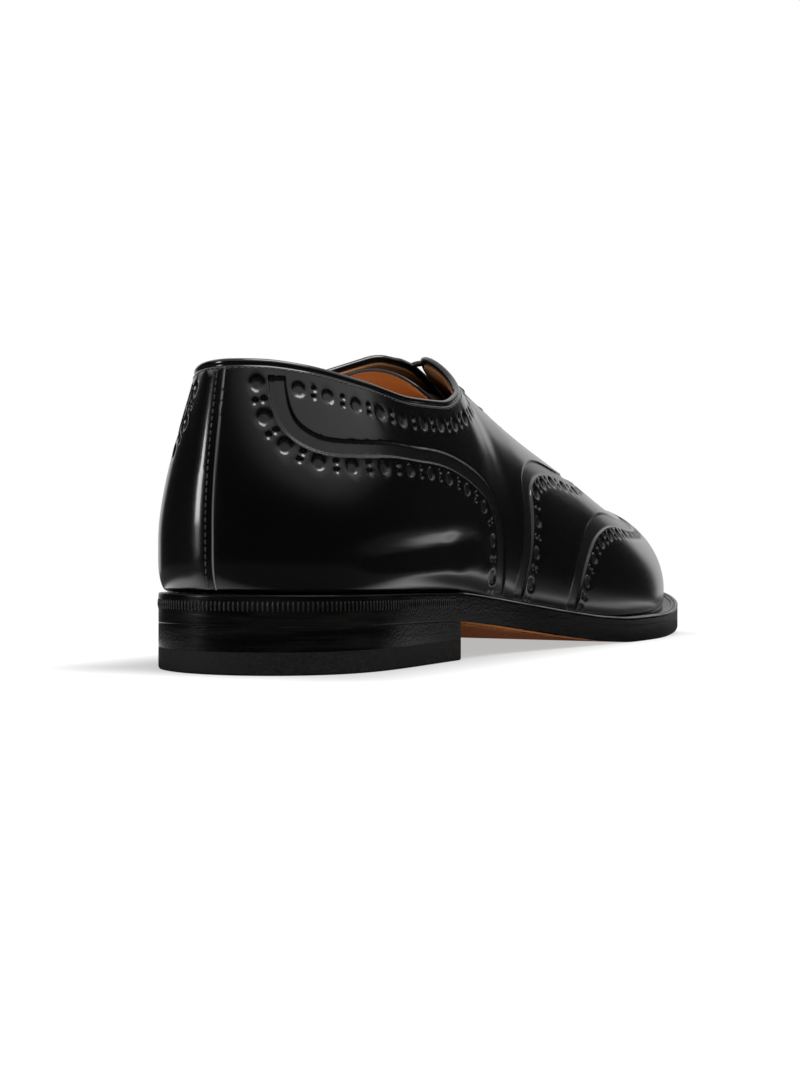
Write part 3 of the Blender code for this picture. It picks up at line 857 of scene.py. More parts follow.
press_line(COUNTER_LINE, COUNTER_WIDTHS, from_ridge=False, gaps=COUNTER_GAPS, medial_shift=0.3)
press_line(VAMP_LINE, VAMP_WIDTHS, from_ridge=True)
press_line(WING_LINE, WING_WIDTHS, from_ridge=True)
for side in (LATERAL, MEDIAL):
    points, _, across = seam_line(COLLAR_ROW, side)
    press_row(points, across, 0.0, COLLAR_GAPS)

# Creases of the lateral quarter: places and steps along each, its depth and half its width. The long one
# lies above the swelling over the insole, the short ones are puckers beside the counter's channel.
CREASES = [
    ([(1.9, 0.165), (2.4, 0.18), (3.22, 0.22), (4.28, 0.255), (5.3, 0.28), (6.1, 0.29)], 1.0, 3.9),
    ([(4.55, 0.33), (4.68, 0.27), (4.86, 0.2), (5.1, 0.13)], 0.3, 2.2),
    ([(5.35, 0.35), (5.55, 0.28), (5.88, 0.2), (6.05, 0.12)], 0.35, 2.2),
]
CREASE_POINTS = 120
CREASE_TAPER = 0.3
crease_points = []
crease_depths = []
crease_halves = []
for table, depth, half_width in CREASES:
    points = seam_line(table, LATERAL, CREASE_POINTS)[0]
    share = np.linspace(0, 1, len(points))
    crease_points.append(points)
    crease_depths.append(depth * eased(share / CREASE_TAPER) * eased((1 - share) / CREASE_TAPER))
    crease_halves.append(half_width)

# Eyelets, punched through the facings in five pairs.
EYELET_PLACES = (8.5, 9.2, 9.9, 10.6, 11.2)
EYELET_STEP = 0.86
EYELET_FLAT = 1.25
EYELET_WALL = 0.55
EYELET_DEPTH = 1.2
eyelet_turns = np.array([turn for place in EYELET_PLACES for turn in (place, TURNS - place)])
eyelet_points = calf_point(eyelet_turns, np.full(len(eyelet_turns), EYELET_STEP))

channel_points = np.array(channel_points)
channel_along = np.array(channel_along)
channel_across = np.array(channel_across)
channel_halves = np.array(channel_halves)
channel_starts = np.array(channel_starts)
dent_points = np.array(dent_points)
dot_points = np.array(dot_points)


def nearest(marks, points):
    """Number of the nearest mark of each point."""
    tree = KDTree(len(marks))
    for number, mark in enumerate(marks):
        tree.insert(mark, number)
    tree.balance()
    return np.array([tree.find(point)[1] for point in points])


def flat_distance(points, normals, marks):
    """Distance from each point to its mark, measured in the leather's surface."""
    gap = marks - points
    gap = gap - normals * np.einsum("ij,ij->i", gap, normals)[:, None]
    return np.linalg.norm(gap, axis=1)


# The lap of the back seam: the medial side lies over the lateral one and is sewn down beside its edge.
LAP_EDGE = -0.4
LAP_WALL = 0.4
LAP_STEP = 0.3
LAP_RISE = 0.5
# Painted highlight along the lap's cut edge: where it lies beside the edge, and how wide.
LAP_HIGHLIGHT = 0.08
LAP_HIGHLIGHT_WIDTH = 0.13
LAP_FLAT = 3.4
LAP_FADE = 9.0
LAP_REACH = 16.0
# A distance that leaves a mark out.
FAR = 1000.0


def measure_pattern(points, normals):
    """Distances that shape the pattern: out of the channel, to its row side, to the next dent, dot and
    eyelet, and from the lap of the back seam."""
    near = nearest(channel_points, points)
    gap = points - channel_points[near]
    across = np.einsum("ij,ij->i", gap, channel_across[near])
    along = np.einsum("ij,ij->i", gap, channel_along[near])
    past_start = np.where(channel_starts[near], -along, -FAR)
    outside = np.maximum(np.abs(across) - channel_halves[near], past_start)
    distances = {
        "outside": np.where(np.linalg.norm(gap, axis=1) > CHANNEL_REACH, FAR, outside),
        "across": across,
        "lap": np.where(points[:, 0] < LAP_REACH, points[:, 1] - LAP_EDGE, FAR),
    }
    for name, marks in (("dent", dent_points), ("dot", dot_points), ("eyelet", eyelet_points)):
        distances[name] = flat_distance(points, normals, marks[nearest(marks, points)])
    return distances


def pressed_relief(points, normals):
    """Height of the pressed pattern above the smooth leather, where its satin flats are, and where a
    painted highlight runs along the cut edge of the lap."""
    distances = measure_pattern(points, normals)
    outside = distances["outside"]
    past_dent = distances["dent"] - DENT_FLAT
    in_eyelet = 1 - eased((distances["eyelet"] - EYELET_FLAT) / EYELET_WALL)
    lap = distances["lap"]
    row_wall = eased(outside / CHANNEL_WALL)
    lip = CHANNEL_LIP * row_wall * np.exp(-np.maximum(outside - CHANNEL_WALL, 0) / LIP_FADE)
    relief = np.where(distances["across"] > 0, lip, 0) - CHANNEL_DEPTH * (1 - row_wall)
    relief = np.where(outside > LIP_END, 0, relief)
    relief -= DENT_DEPTH * (1 - eased(past_dent / DENT_WALL))
    relief -= DENT_PULL * (1 - eased(past_dent / DENT_PULL_WIDTH))
    relief -= DOT_DEPTH * (1 - eased(distances["dot"] / DOT_RADIUS))
    relief -= EYELET_DEPTH * in_eyelet
    for line, depths, half_width in zip(crease_points, crease_depths, crease_halves):
        near = nearest(line, points)
        away = np.linalg.norm(points - line[near], axis=1)
        relief -= depths[near] * np.exp(-(away / half_width) ** 2)
    lap_height = LAP_STEP * eased(lap / LAP_WALL) + LAP_RISE * eased(lap / LAP_FLAT)
    relief += lap_height * (1 - eased((lap - LAP_FLAT) / LAP_FADE))
    channel_satin = CHANNEL_SATIN * (1 - eased(outside / CHANNEL_SATIN_STEP))
    dent_satin = DENT_SATIN * (1 - eased(past_dent / DENT_SATIN_STEP))
    satin = np.maximum(np.maximum(channel_satin, dent_satin), in_eyelet)
    # Painted highlight on the lap's cut edge.
    lap_highlight = np.exp(-((lap - LAP_HIGHLIGHT) / LAP_HIGHLIGHT_WIDTH) ** 2)
    return relief, satin, lap_highlight


def row_count(shell):
    """Rows of a shell: its outer face, its rim and its inner face."""
    return shell["rows"] + len(shell["rim"]) - 1 + shell["inner_rows"]


def shell_sheet(name, shell):
    """The flat sheet that becomes a shell."""
    return flat_sheet(name, shell["columns"], row_count(shell))[0]


def flat_turn_row(points, shell):
    """Turn and row of points on the flat sheet."""
    return (points[:, 0] + 0.5) * TURNS, (points[:, 1] + 0.5) * row_count(shell)


# How the rows close up towards the welt, how late they follow the edge's line, and over which length of
# the shoe the open rim passes into the closed ridge.
LOW_ROWS_CLOSER = 1.4
EDGE_FOLLOWED = 3
RIM_END = 0.5


def shell_rows(turn, row, shell):
    """Turn and step on the last for each point of a shell, and how far it lies out of the surface."""
    rim_row = shell["rows"]
    inner_row = rim_row + len(shell["rim"]) - 1
    belows = np.array([below for below, _ in shell["rim"]])
    outs = np.array([out for _, out in shell["rim"]])
    rolled = 1 - eased((shoe_place(turn) - THROAT_PLACE + RIM_END) / RIM_END)
    lowered = belows[shell["top"]] * (1 - rolled)
    below = np.interp(row - rim_row, np.arange(len(belows)), belows) - lowered
    out = np.interp(row - rim_row, np.arange(len(outs)), outs)
    edge_turn, edge_step = beside_edge(turn, belows[0] - lowered)
    rim_turn, rim_step = beside_edge(turn, below)
    last_turn, last_step = beside_edge(turn, belows[-1] - lowered)
    low_share = np.clip(row / rim_row, 0, 1)
    high_share = np.clip((row_count(shell) - row) / shell["inner_rows"], 0, 1)
    new_turn = np.where(row <= rim_row, turn + (edge_turn - turn) * low_share ** EDGE_FOLLOWED, rim_turn)
    new_step = np.where(row <= rim_row, edge_step * low_share ** LOW_ROWS_CLOSER, rim_step)
    inner_turn = turn + (last_turn - turn) * high_share ** EDGE_FOLLOWED
    new_turn = np.where(row > inner_row, inner_turn, new_turn)
    new_step = np.where(row > inner_row, last_step * high_share ** LOW_ROWS_CLOSER, new_step)
    closed_out = np.where(row > rim_row + shell["top"], shell["inner"], shell["outer"])
    rolled_out = np.where(row > inner_row, shell["inner"], np.where(row < rim_row, shell["outer"], out))
    return new_turn, new_step, rolled_out * rolled + closed_out * (1 - rolled)


def select_faces(piece, chosen):
    """Selects faces of a piece in edit mode."""
    bpy.context.tool_settings.mesh_select_mode = (False, False, True)
    bpy.context.view_layer.objects.active = piece
    bpy.ops.object.mode_set(mode="EDIT")
    bpy.ops.mesh.select_all(action="DESELECT")
    bpy.ops.object.mode_set(mode="OBJECT")
    piece.data.polygons.foreach_set("select", chosen)
    bpy.ops.object.mode_set(mode="EDIT")


def close_ridge(piece, turn, row, shell):
    """Deletes the faces between outer and inner ridge in front of the throat, where the shell is shut."""
    corner_counts = np.zeros(len(piece.data.polygons), np.int32)
    piece.data.polygons.foreach_get("loop_total", corner_counts)
    corner_points = np.zeros(len(piece.data.loops), np.int32)
    piece.data.loops.foreach_get("vertex_index", corner_points)
    face_of_corner = np.repeat(np.arange(len(corner_counts)), corner_counts)
    face_rows = np.bincount(face_of_corner, row[corner_points]) / corner_counts
    face_places = np.bincount(face_of_corner, shoe_place(turn)[corner_points]) / corner_counts
    from_top = face_rows - shell["rows"] - shell["top"]
    select_faces(piece, (from_top > 0) & (from_top < 1) & (face_places > THROAT_PLACE))
    bpy.ops.mesh.delete(type="FACE")
    bpy.ops.object.mode_set(mode="OBJECT")


upper = shell_sheet("calf_upper", CALF_SHELL)

# Faces near the pattern are divided three times, at last on its walls only: between which distances from
# each mark.
REFINED = [
    {
        "outside": (-FAR, 2.8), "dent": (-FAR, 4.0), "dot": (-FAR, 2.8), "eyelet": (-FAR, 3.2),
        "lap": (-2.6, 2.6),
    },
    {
        "outside": (-1.0, 1.6), "dent": (-FAR, 2.9), "dot": (-FAR, 1.7), "eyelet": (-FAR, 2.4),
        "lap": (-1.0, 1.4),
    },
    {
        "outside": (-0.35, 0.95), "dent": (1.15, 2.25), "dot": (-FAR, 1.25), "eyelet": (1.0, 2.0),
        "lap": (-0.2, 0.6),
    },
]
for bands in REFINED:
    middles = np.zeros(len(upper.data.polygons) * 3, np.float32)
    upper.data.polygons.foreach_get("center", middles)
    turn, row = flat_turn_row(middles.reshape(-1, 3).astype(float), CALF_SHELL)
    chosen = np.zeros(len(turn), bool)
    is_outer = row < CALF_SHELL["rows"]
    for side_turn in (turn[is_outer], TURNS - turn[is_outer]):
        new_turn, new_step, _ = shell_rows(side_turn, row[is_outer], CALF_SHELL)
        normals = calf_frame(new_turn, new_step)[2]
        distances = measure_pattern(calf_point(new_turn, new_step), normals)
        for name, (low, high) in bands.items():
            chosen[is_outer] |= (distances[name] > low) & (distances[name] < high)
    select_faces(upper, chosen)
    bpy.ops.mesh.subdivide(number_cuts=1)
    bpy.ops.object.mode_set(mode="OBJECT")


def mark_points(piece, name, values):
    """Writes a value for each point of a piece, which its finish reads."""
    mark = piece.data.attributes.new(name, "FLOAT", "POINT")
    mark.data.foreach_set("value", values.astype(np.float32))


# Share of the way up over which the pattern fades in, so that the calf closes on the welt.
FOOT_FADE = 0.03
turn, row = flat_turn_row(sheet_points(upper), CALF_SHELL)
calf_turn, calf_step, calf_out = shell_rows(turn, row, CALF_SHELL)
calf_points = calf_point(calf_turn, calf_step)
calf_normals = calf_frame(calf_turn, calf_step)[2]
relief, satin, lap_highlight = pressed_relief(calf_points, calf_normals)
is_outer = row < CALF_SHELL["rows"] + 1
relief = np.where(is_outer, relief, 0) * eased(calf_step / FOOT_FADE)
put_points(upper, calf_points + calf_normals * (calf_out + relief)[:, None])
mark_points(upper, "satin", np.where(is_outer, satin, 0))
mark_points(upper, "lap_highlight", np.where(is_outer, lap_highlight, 0))
close_ridge(upper, turn, row, CALF_SHELL)
join_doubles(upper, distance=0.2)
bpy.ops.object.shade_smooth()

CALF_BLACK = (0.001, 0.001, 0.0011)
CALF_WORN = (0.008, 0.008, 0.008)
# Pale grey of the painted highlight along the lap's cut edge.
CALF_LAP_HIGHLIGHT = (0.2, 0.195, 0.185)
CALF_GRAIN = (2600.0, 30.0)
CALF_ROUGH = (0.17, 0.23)
CALF_SATIN_ROUGH = 0.18
CALF_COAT = 0.5
CALF_COAT_ROUGH = 0.1
CALF_SPECULAR = 0.4
CALF_RELIEF = (0.09, 0.0001)
black_calf, calf_shader = new_finish("black_calf", CALF_BLACK, roughness=0.4)
calf_grain = grain_node(black_calf, *CALF_GRAIN)
calf_satin = add_node(black_calf.node_tree, "ShaderNodeAttribute", attribute_name="satin").outputs["Fac"]
calf_lap_highlight = add_node(black_calf.node_tree, "ShaderNodeAttribute", attribute_name="lap_highlight").outputs["Fac"]
calf_flats = tint(black_calf, calf_satin, CALF_BLACK, CALF_WORN, 0.0, 1.0)
calf_tone = mix_colours(black_calf.node_tree, calf_lap_highlight, calf_flats, (*CALF_LAP_HIGHLIGHT, 1))
link(black_calf, calf_tone, calf_shader, "Base Color")
calf_gloss = spread(black_calf, calf_grain.outputs["Drift"], *CALF_ROUGH)
calf_dull = spread(black_calf, calf_satin, 0.0, CALF_SATIN_ROUGH, 0.0, 1.0)
calf_rough = calculate(black_calf.node_tree, "ADD", calf_gloss, calf_dull)
link(black_calf, calf_rough, calf_shader, "Roughness")
link(black_calf, spread(black_calf, calf_satin, CALF_COAT, 0.0, 0.0, 1.0), calf_shader, "Coat Weight")
calf_shader.inputs["Coat Roughness"].default_value = CALF_COAT_ROUGH
calf_shader.inputs["Specular IOR Level"].default_value = CALF_SPECULAR
link(black_calf, bump(black_calf, calf_grain.outputs["Height"], *CALF_RELIEF), calf_shader, "Normal")
upper.data.materials.append(black_calf)
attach(upper, "root")
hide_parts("upper")


# Lining
# A leather lining of the same cut, glued inside the calf. Its raw upper edge stops just below the
# rolled rim and shows the pale middle of the hide.
LINING_SHELL = {
    "columns": 4 * TURNS,
    "rows": 12,
    "inner_rows": 12,
    "outer": -1.45,
    "inner": -2.7,
    "top": 2,
    "rim": [(-2.2, -1.45), (-1.95, -1.6), (-1.8, -2.1), (-1.95, -2.5), (-2.4, -2.7)],
}
LINING_EDGE_ROWS = 2.7
TAN_RAW = (0.32, 0.15, 0.065)

lining = shell_sheet("tan_lining_quarters", LINING_SHELL)
turn, row = flat_turn_row(sheet_points(lining), LINING_SHELL)
lining_turn, lining_step, lining_out = shell_rows(turn, row, LINING_SHELL)
lining_points = calf_point(lining_turn, lining_step)
lining_normals = calf_frame(lining_turn, lining_step)[2]
put_points(lining, lining_points + lining_normals * lining_out[:, None])
from_edge = np.abs(row - LINING_SHELL["rows"] - LINING_SHELL["top"])
mark_points(lining, "raw_edge", from_edge < LINING_EDGE_ROWS)
close_ridge(lining, turn, row, LINING_SHELL)
join_doubles(lining, distance=0.2)
bpy.ops.object.shade_smooth()

tan_quarters, quarters_shader = new_finish("tan_quarters", TAN, roughness=0.55)
quarters_tone = add_grain(
    tan_quarters, quarters_shader, TAN_GRAIN, (TAN_DARK, TAN), rough=(0.5, 0.7), relief=(0.4, 0.0002))
quarters_raw = add_node(tan_quarters.node_tree, "ShaderNodeAttribute", attribute_name="raw_edge")
quarters_mix = mix_colours(
    tan_quarters.node_tree, quarters_raw.outputs["Fac"], quarters_tone, (*TAN_RAW, 1))
link(tan_quarters, quarters_mix, quarters_shader, "Base Color")
quarters_shader.inputs["Specular IOR Level"].default_value = TAN_SPECULAR
lining.data.materials.append(tan_quarters)
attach(lining, "root")


# Tongue
# A flap of calf lined with the same tan leather, sewn under the front of the throat and lying
# between the facings and the foot. Its free end shows behind the top of the lacing.
TONGUE_THICKNESS = 1.2
TONGUE_BEVEL = 0.5
# How fast it falls away from its crown, at its free end and at the top of the lacing.
TONGUE_ARCH_X = (94.2, 114.0)
TONGUE_ARCH = (0.022, 0.03)
TONGUE_COLUMNS = 64
TONGUE_ROWS = 20
# From its seam under the vamp to its free end: x, middle y, height of the crown and half the width.
TONGUE_SECTIONS = [
    (200.0, 3.4, 58.1, 9.0),
    (192.0, 3.2, 61.1, 11.0),
    (172.0, 2.4, 67.2, 14.0),
    (151.0, 1.2, 74.8, 16.0),
    (130.0, 0.2, 81.0, 16.5),
    (114.0, 0.6, 82.2, 15.5),
    (102.0, 3.2, 84.6, 17.5),
    (97.0, 4.4, 86.6, 19.0),
    (94.2, 4.8, 87.6, 16.5),
]
tongue, along, across = flat_sheet("calf_tongue", TONGUE_COLUMNS, TONGUE_ROWS)
tongue_marks = np.arange(len(TONGUE_SECTIONS))
tongue_curves = [steady_curve(tongue_marks, values) for values in np.array(TONGUE_SECTIONS).T]
tongue_mark = along / TONGUE_COLUMNS * tongue_marks[-1]
tongue_x, tongue_y, tongue_z, tongue_half = [curve(tongue_mark) for curve in tongue_curves]
tongue_side = (across / TONGUE_ROWS * 2 - 1) * tongue_half
tongue_arch = np.interp(tongue_x, TONGUE_ARCH_X, TONGUE_ARCH)
put_points(tongue, np.column_stack([
    tongue_x, tongue_y - tongue_side, tongue_z - tongue_arch * tongue_side ** 2,
]))
tongue_calf, tongue_shader = new_finish("tongue_calf", CALF_BLACK, roughness=0.35)
add_grain(tongue_calf, tongue_shader, (2200.0, 60.0), (CALF_BLACK, CALF_WORN),
          rough=(0.3, 0.45), relief=(0.2, 0.0001))
tongue.data.materials.append(tongue_calf)
ORANGE_TAN = (0.33, 0.098, 0.012)
ORANGE_TAN_DARK = (0.26, 0.07, 0.008)
tongue_tan, tongue_tan_shader = new_finish("orange_tan_lining", ORANGE_TAN, roughness=0.5)
add_grain(tongue_tan, tongue_tan_shader, (1800.0, 50.0), (ORANGE_TAN_DARK, ORANGE_TAN), relief=(0.3, 0.0002))
tongue.data.materials.append(tongue_tan)
finish_with(tongue, "SOLIDIFY", thickness=TONGUE_THICKNESS * MILLIMETRE, offset=-1.0, material_offset=1)
finish_with(tongue, "BEVEL", width=TONGUE_BEVEL * MILLIMETRE, segments=3, limit_method="ANGLE",
            angle_limit=math.radians(50))
bpy.ops.object.shade_smooth_by_angle(angle=math.radians(50))
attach(tongue, "root")
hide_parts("tongue")


# Stitching of the upper
# One row of waxed thread runs below the rolled rim and along both facings, and one holds the lap of
# the back seam.
RIM_STITCH_BELOW = -2.85
RIM_STITCH_SPACING = 1.75
RIM_STITCH = (1.3, 0.42, 0.36)
SEAM_STITCH_Y = 1.6
SEAM_STITCH_SPACING = 1.9
SEAM_STITCH = (1.35, 0.45, 0.4)
RIM_STITCH_END = 11.6
RIM_STITCH_POINTS = 600
SEAM_STITCH_STEPS = (0.03, 0.955)
SEAM_STITCH_POINTS = 200
SEAM_LOOK_REACH = 0.6
SEAM_LOOK_COUNT = 241

bpy.ops.object.select_all(action="DESELECT")
bpy.ops.mesh.primitive_uv_sphere_add(segments=6, ring_count=5, radius=0.5)
stitch_model = bpy.context.object
stitch_points = sheet_points(stitch_model)
stitch_faces = [list(face.vertices) for face in stitch_model.data.polygons]
bpy.ops.object.delete()


def sew(name, points, along, normals, size):
    """A row of stitches as one mesh: middles, directions, normals, and length, width and height of one."""
    length, width, height = size
    along = unit(along)
    across = unit(np.cross(normals, along))
    upright = np.cross(along, across)
    placed = (
        points[:, None, :]
        + along[:, None, :] * stitch_points[None, :, 2:3] * length
        + across[:, None, :] * stitch_points[None, :, 0:1] * width
        + upright[:, None, :] * stitch_points[None, :, 1:2] * height
    )
    faces = []
    for number in range(len(points)):
        faces.extend([[corner + number * len(stitch_points) for corner in face] for face in stitch_faces])
    mesh = bpy.data.meshes.new(name)
    mesh.from_pydata(((placed.reshape(-1, 3) - LAST_ORIGIN) * MILLIMETRE).tolist(), [], faces)
    row_of_thread = bpy.data.objects.new(name, mesh)
    bpy.context.collection.objects.link(row_of_thread)
    bpy.ops.object.select_all(action="DESELECT")
    row_of_thread.select_set(True)
    bpy.context.view_layer.objects.active = row_of_thread
    bpy.ops.object.mode_set(mode="EDIT")
    bpy.ops.mesh.select_all(action="SELECT")
    bpy.ops.mesh.normals_make_consistent(inside=False)
    bpy.ops.object.mode_set(mode="OBJECT")
    bpy.ops.object.shade_smooth()
    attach(row_of_thread, "root")
    return row_of_thread


def evenly(points, spacing):
    """Numbers, with fractions, of places along a line that lie a spacing apart."""
    lengths = lengths_along(points)
    return np.interp(np.arange(spacing / 2, lengths[-1], spacing), lengths, np.arange(len(points)))


def pick(values, numbers):
    """Values at numbers with fractions."""
    return np.column_stack([
        np.interp(numbers, np.arange(len(values)), column) for column in values.T
    ])


def sew_line(name, line, normals, spacing, size, finish):
    """A row of stitches that lie a spacing apart on a line."""
    numbers = evenly(line, spacing)
    ahead = np.gradient(line, axis=0)
    stitches = sew(name, pick(line, numbers), pick(ahead, numbers), pick(normals, numbers), size)
    stitches.data.materials.append(finish)
    return stitches


def pressed_line(turn, step):
    """Points and normals of a line on the pressed calf."""
    points = calf_point(turn, step)
    normals = calf_frame(turn, step)[2]
    return points + normals * pressed_relief(points, normals)[0][:, None], normals


THREAD_GREY = (0.012, 0.012, 0.0115)
THREAD_PALE = (0.045, 0.044, 0.042)
thread, thread_shader = new_finish("waxed_thread", THREAD_GREY, roughness=0.4)
add_grain(thread, thread_shader, (4000.0, 400.0), (THREAD_GREY, THREAD_PALE), relief=(0.3, 0.0001))

rim_turn = np.concatenate([
    np.linspace(TURNS - RIM_STITCH_END, TURNS, RIM_STITCH_POINTS),
    np.linspace(0, RIM_STITCH_END, RIM_STITCH_POINTS)[1:],
])
rim_line, rim_normals = pressed_line(*beside_edge(rim_turn, np.full_like(rim_turn, RIM_STITCH_BELOW)))
rim_stitches = sew_line("rim_stitches", rim_line, rim_normals, RIM_STITCH_SPACING, RIM_STITCH, thread)

# The seam's stitches run straight up, so the turn that lies on their line is looked for at each step.
seam_steps = np.linspace(*SEAM_STITCH_STEPS, SEAM_STITCH_POINTS)
seam_turns = np.zeros_like(seam_steps)
trial_turns = np.linspace(TURNS - SEAM_LOOK_REACH, TURNS, SEAM_LOOK_COUNT)
for number, seam_step in enumerate(seam_steps):
    trial = calf_point(trial_turns, np.full_like(trial_turns, seam_step))
    seam_turns[number] = trial_turns[np.abs(trial[:, 1] - SEAM_STITCH_Y).argmin()]
back_line, back_normals = pressed_line(seam_turns, seam_steps)
seam_stitches = sew_line(
    "back_seam_stitches", back_line, back_normals, SEAM_STITCH_SPACING, SEAM_STITCH, thread)


# Welt
# A strip of leather sewn round the feather line, which stands out as a ledge. Its stitches hold it to
# the outsole; its edge is waxed black and marked with a wheel.
EDGE_COLUMNS = 8 * TOE_PLACE
EDGE_LINE_POINTS = 500
WELT_PROFILE = [
    (13.0, -0.14), (0.2, -0.14), (0.03, -0.13), (0.0, -0.1), (0.0, -0.05), (0.0, 1.6), (0.0, 1.75),
    (0.05, 2.1), (0.22, 2.33), (0.6, 2.4), (0.9, 2.4), (3.0, 2.4), (13.0, 2.4),
]
# The stitches begin in front of the heel, at this place.
WELT_STITCH_START = 5.2
WELT_STITCH_INSET = 2.2
WELT_STITCH_SPACING = 2.0
WELT_STITCH = (1.75, 1.0, 0.9)


def edge_sheet(name, profile, columns, base, closed_middle, last_places=(TOE_PLACE, TOE_PLACE), top=None):
    """A layer of the sole. The profile gives insets from the edge and heights above the base; it is
    swept along both sides, and the middle is closed or left open."""
    rows = 2 * len(profile) if closed_middle else len(profile)
    sides = ((LATERAL, last_places[0]), (MEDIAL, last_places[1]))
    sheet, along, across = flat_sheet(name, columns if closed_middle else 2 * columns, rows)
    share = along / columns
    points = np.zeros((len(along), 3))
    profile = np.array(profile)
    for side, last_place in sides:
        if closed_middle:
            round_row = np.round(across).astype(int) % rows
            is_lateral = round_row < len(profile)
            number = np.where(is_lateral, round_row, rows - 1 - round_row)
            mine = is_lateral == (side == LATERAL)
            place = share * last_place
        else:
            number = np.round(across).astype(int) % len(profile)
            mine = share <= 1 if side == LATERAL else share > 1
            place = np.where(share <= 1, share, 2 - share) * last_place
        inset, height = profile[number].T
        plan = edge_line(place, side, section_curves["welt"](place) - inset)
        low = base(plan[:, 0])
        if top is not None:
            height = height * (top(plan[:, 0]) - low)
        points[mine] = np.column_stack([plan, low + height])[mine]
    put_points(sheet, points)
    return sheet


BLACK_WAX = (0.0015, 0.0015, 0.0015)
BLACK_WAX_RUBBED = (0.008, 0.0075, 0.007)
EDGE_GRAIN = (1700.0, 90.0)
# Streaks that lie along the edge: how many a metre in each direction, their share in the relief, and
# between which heights of a streak the wax is rubbed away.
EDGE_STREAKS = (40.0, 40.0, 500.0)
EDGE_STREAK_SHARE = 0.5
EDGE_RUBBED = (0.45, 0.8)
EDGE_ROUGH = (0.14, 0.24)
EDGE_RELIEF = (0.16, 0.0002)
EDGE_SPECULAR = 0.1
black_edge, edge_shader = new_finish("black_waxed_edge", BLACK_WAX, roughness=0.35)
edge_grain = grain_node(black_edge, *EDGE_GRAIN)
edge_place = add_node(black_edge.node_tree, "ShaderNodeTexCoord")
edge_stretch = add_node(black_edge.node_tree, "ShaderNodeMapping", {
    "Vector": edge_place.outputs["Object"], "Scale": EDGE_STREAKS,
})
edge_streaks = add_node(black_edge.node_tree, "ShaderNodeTexNoise", {
    "Vector": edge_stretch.outputs["Vector"], "Scale": 1.0, "Detail": 4.0,
})
edge_streak = edge_streaks.outputs["Fac"]
edge_tone = tint(black_edge, edge_streak, BLACK_WAX, BLACK_WAX_RUBBED, *EDGE_RUBBED)
edge_height = calculate(
    black_edge.node_tree, "MULTIPLY_ADD", edge_streak, EDGE_STREAK_SHARE, edge_grain.outputs["Height"])
link(black_edge, edge_tone, edge_shader, "Base Color")
link(black_edge, spread(black_edge, edge_streak, *EDGE_ROUGH), edge_shader, "Roughness")
link(black_edge, bump(black_edge, edge_height, *EDGE_RELIEF), edge_shader, "Normal")
edge_shader.inputs["Specular IOR Level"].default_value = EDGE_SPECULAR


def welt_floor(x):
    """Height of the welt's lower face."""
    return underside(x) + OUTSOLE_THICKNESS + CLEARANCE


welt = edge_sheet("welt_strip", WELT_PROFILE, EDGE_COLUMNS, welt_floor, closed_middle=False)
join_doubles(welt, distance=0.01)
bpy.ops.object.shade_smooth_by_angle(angle=math.radians(50))
welt.data.materials.append(black_edge)
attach(welt, "root")
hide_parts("welt")


def line_on_edge(places, side, inset, height_of):
    """Points of a line inside the sole's edge on one side, and their outward directions."""
    x, y, out_x, out_y = feather_point(places, side)
    offset = section_curves["welt"](places) - inset
    plan_x = x + out_x * offset
    points = np.column_stack([plan_x, y + out_y * offset, height_of(plan_x)])
    return points, np.column_stack([out_x, out_y, np.zeros_like(out_x)])


def line_round_edge(inset, height_of, first_place):
    """Points of a line inside the sole's edge, along the lateral side to the toe and back."""
    half = np.linspace(first_place, TOE_PLACE, EDGE_LINE_POINTS)
    lateral = line_on_edge(half, LATERAL, inset, height_of)[0]
    medial = line_on_edge(half[::-1][1:], MEDIAL, inset, height_of)[0]
    return np.concatenate([lateral, medial])


# Paler grey for the welt's stitches and wheel marks: a painted highlight for the glints along the welt's
# top.
WELT_GLINT_GREY = (0.06, 0.058, 0.056)
WELT_GLINT_PALE = (0.2, 0.195, 0.19)
welt_glint, welt_glint_shader = new_finish("welt_glint", WELT_GLINT_GREY, roughness=0.3)
add_grain(welt_glint, welt_glint_shader, (2400.0, 120.0), (WELT_GLINT_GREY, WELT_GLINT_PALE), relief=(0.2, 0.0002))

welt_line = line_round_edge(WELT_STITCH_INSET, welt_top, WELT_STITCH_START)
welt_up = np.tile([0.0, 0.0, 1.0], (len(welt_line), 1))
welt_stitches = sew_line(
    "welt_stitches", welt_line, welt_up, WELT_STITCH_SPACING, WELT_STITCH, welt_glint)


# Outsole
# One thickness of oak-bark leather under the whole shoe. The edge is trimmed, waxed black and burnished;
# the underside is tan, with the thread of the sole stitching lying in a cut channel.
OUTSOLE_PROFILE = [
    (14.0, 0.0), (8.2, 0.0), (7.5, 0.0), (7.2, 0.45), (6.8, 0.45), (6.5, 0.0), (3.0, 0.0), (0.6, 0.0),
    (0.4, 0.0), (0.12, 0.08), (0.0, 0.3), (0.0, 0.4), (0.0, 3.0), (0.0, 5.5), (0.0, 5.6), (0.03, 5.63),
    (0.2, 5.64), (14.0, 5.64),
]
# Faces that look down more than this are the tan underside.
UNDERSIDE_FACING = -0.985
CHANNEL_STITCH_START = 5.4
CHANNEL_STITCH_RISE = 0.3
CHANNEL_STITCH_INSET = 7.0
CHANNEL_STITCH_SPACING = 3.4
CHANNEL_STITCH = (2.2, 0.7, 0.4)
SOLE_TAN = (0.5, 0.19, 0.065)
SOLE_TAN_DARK = (0.4, 0.14, 0.045)

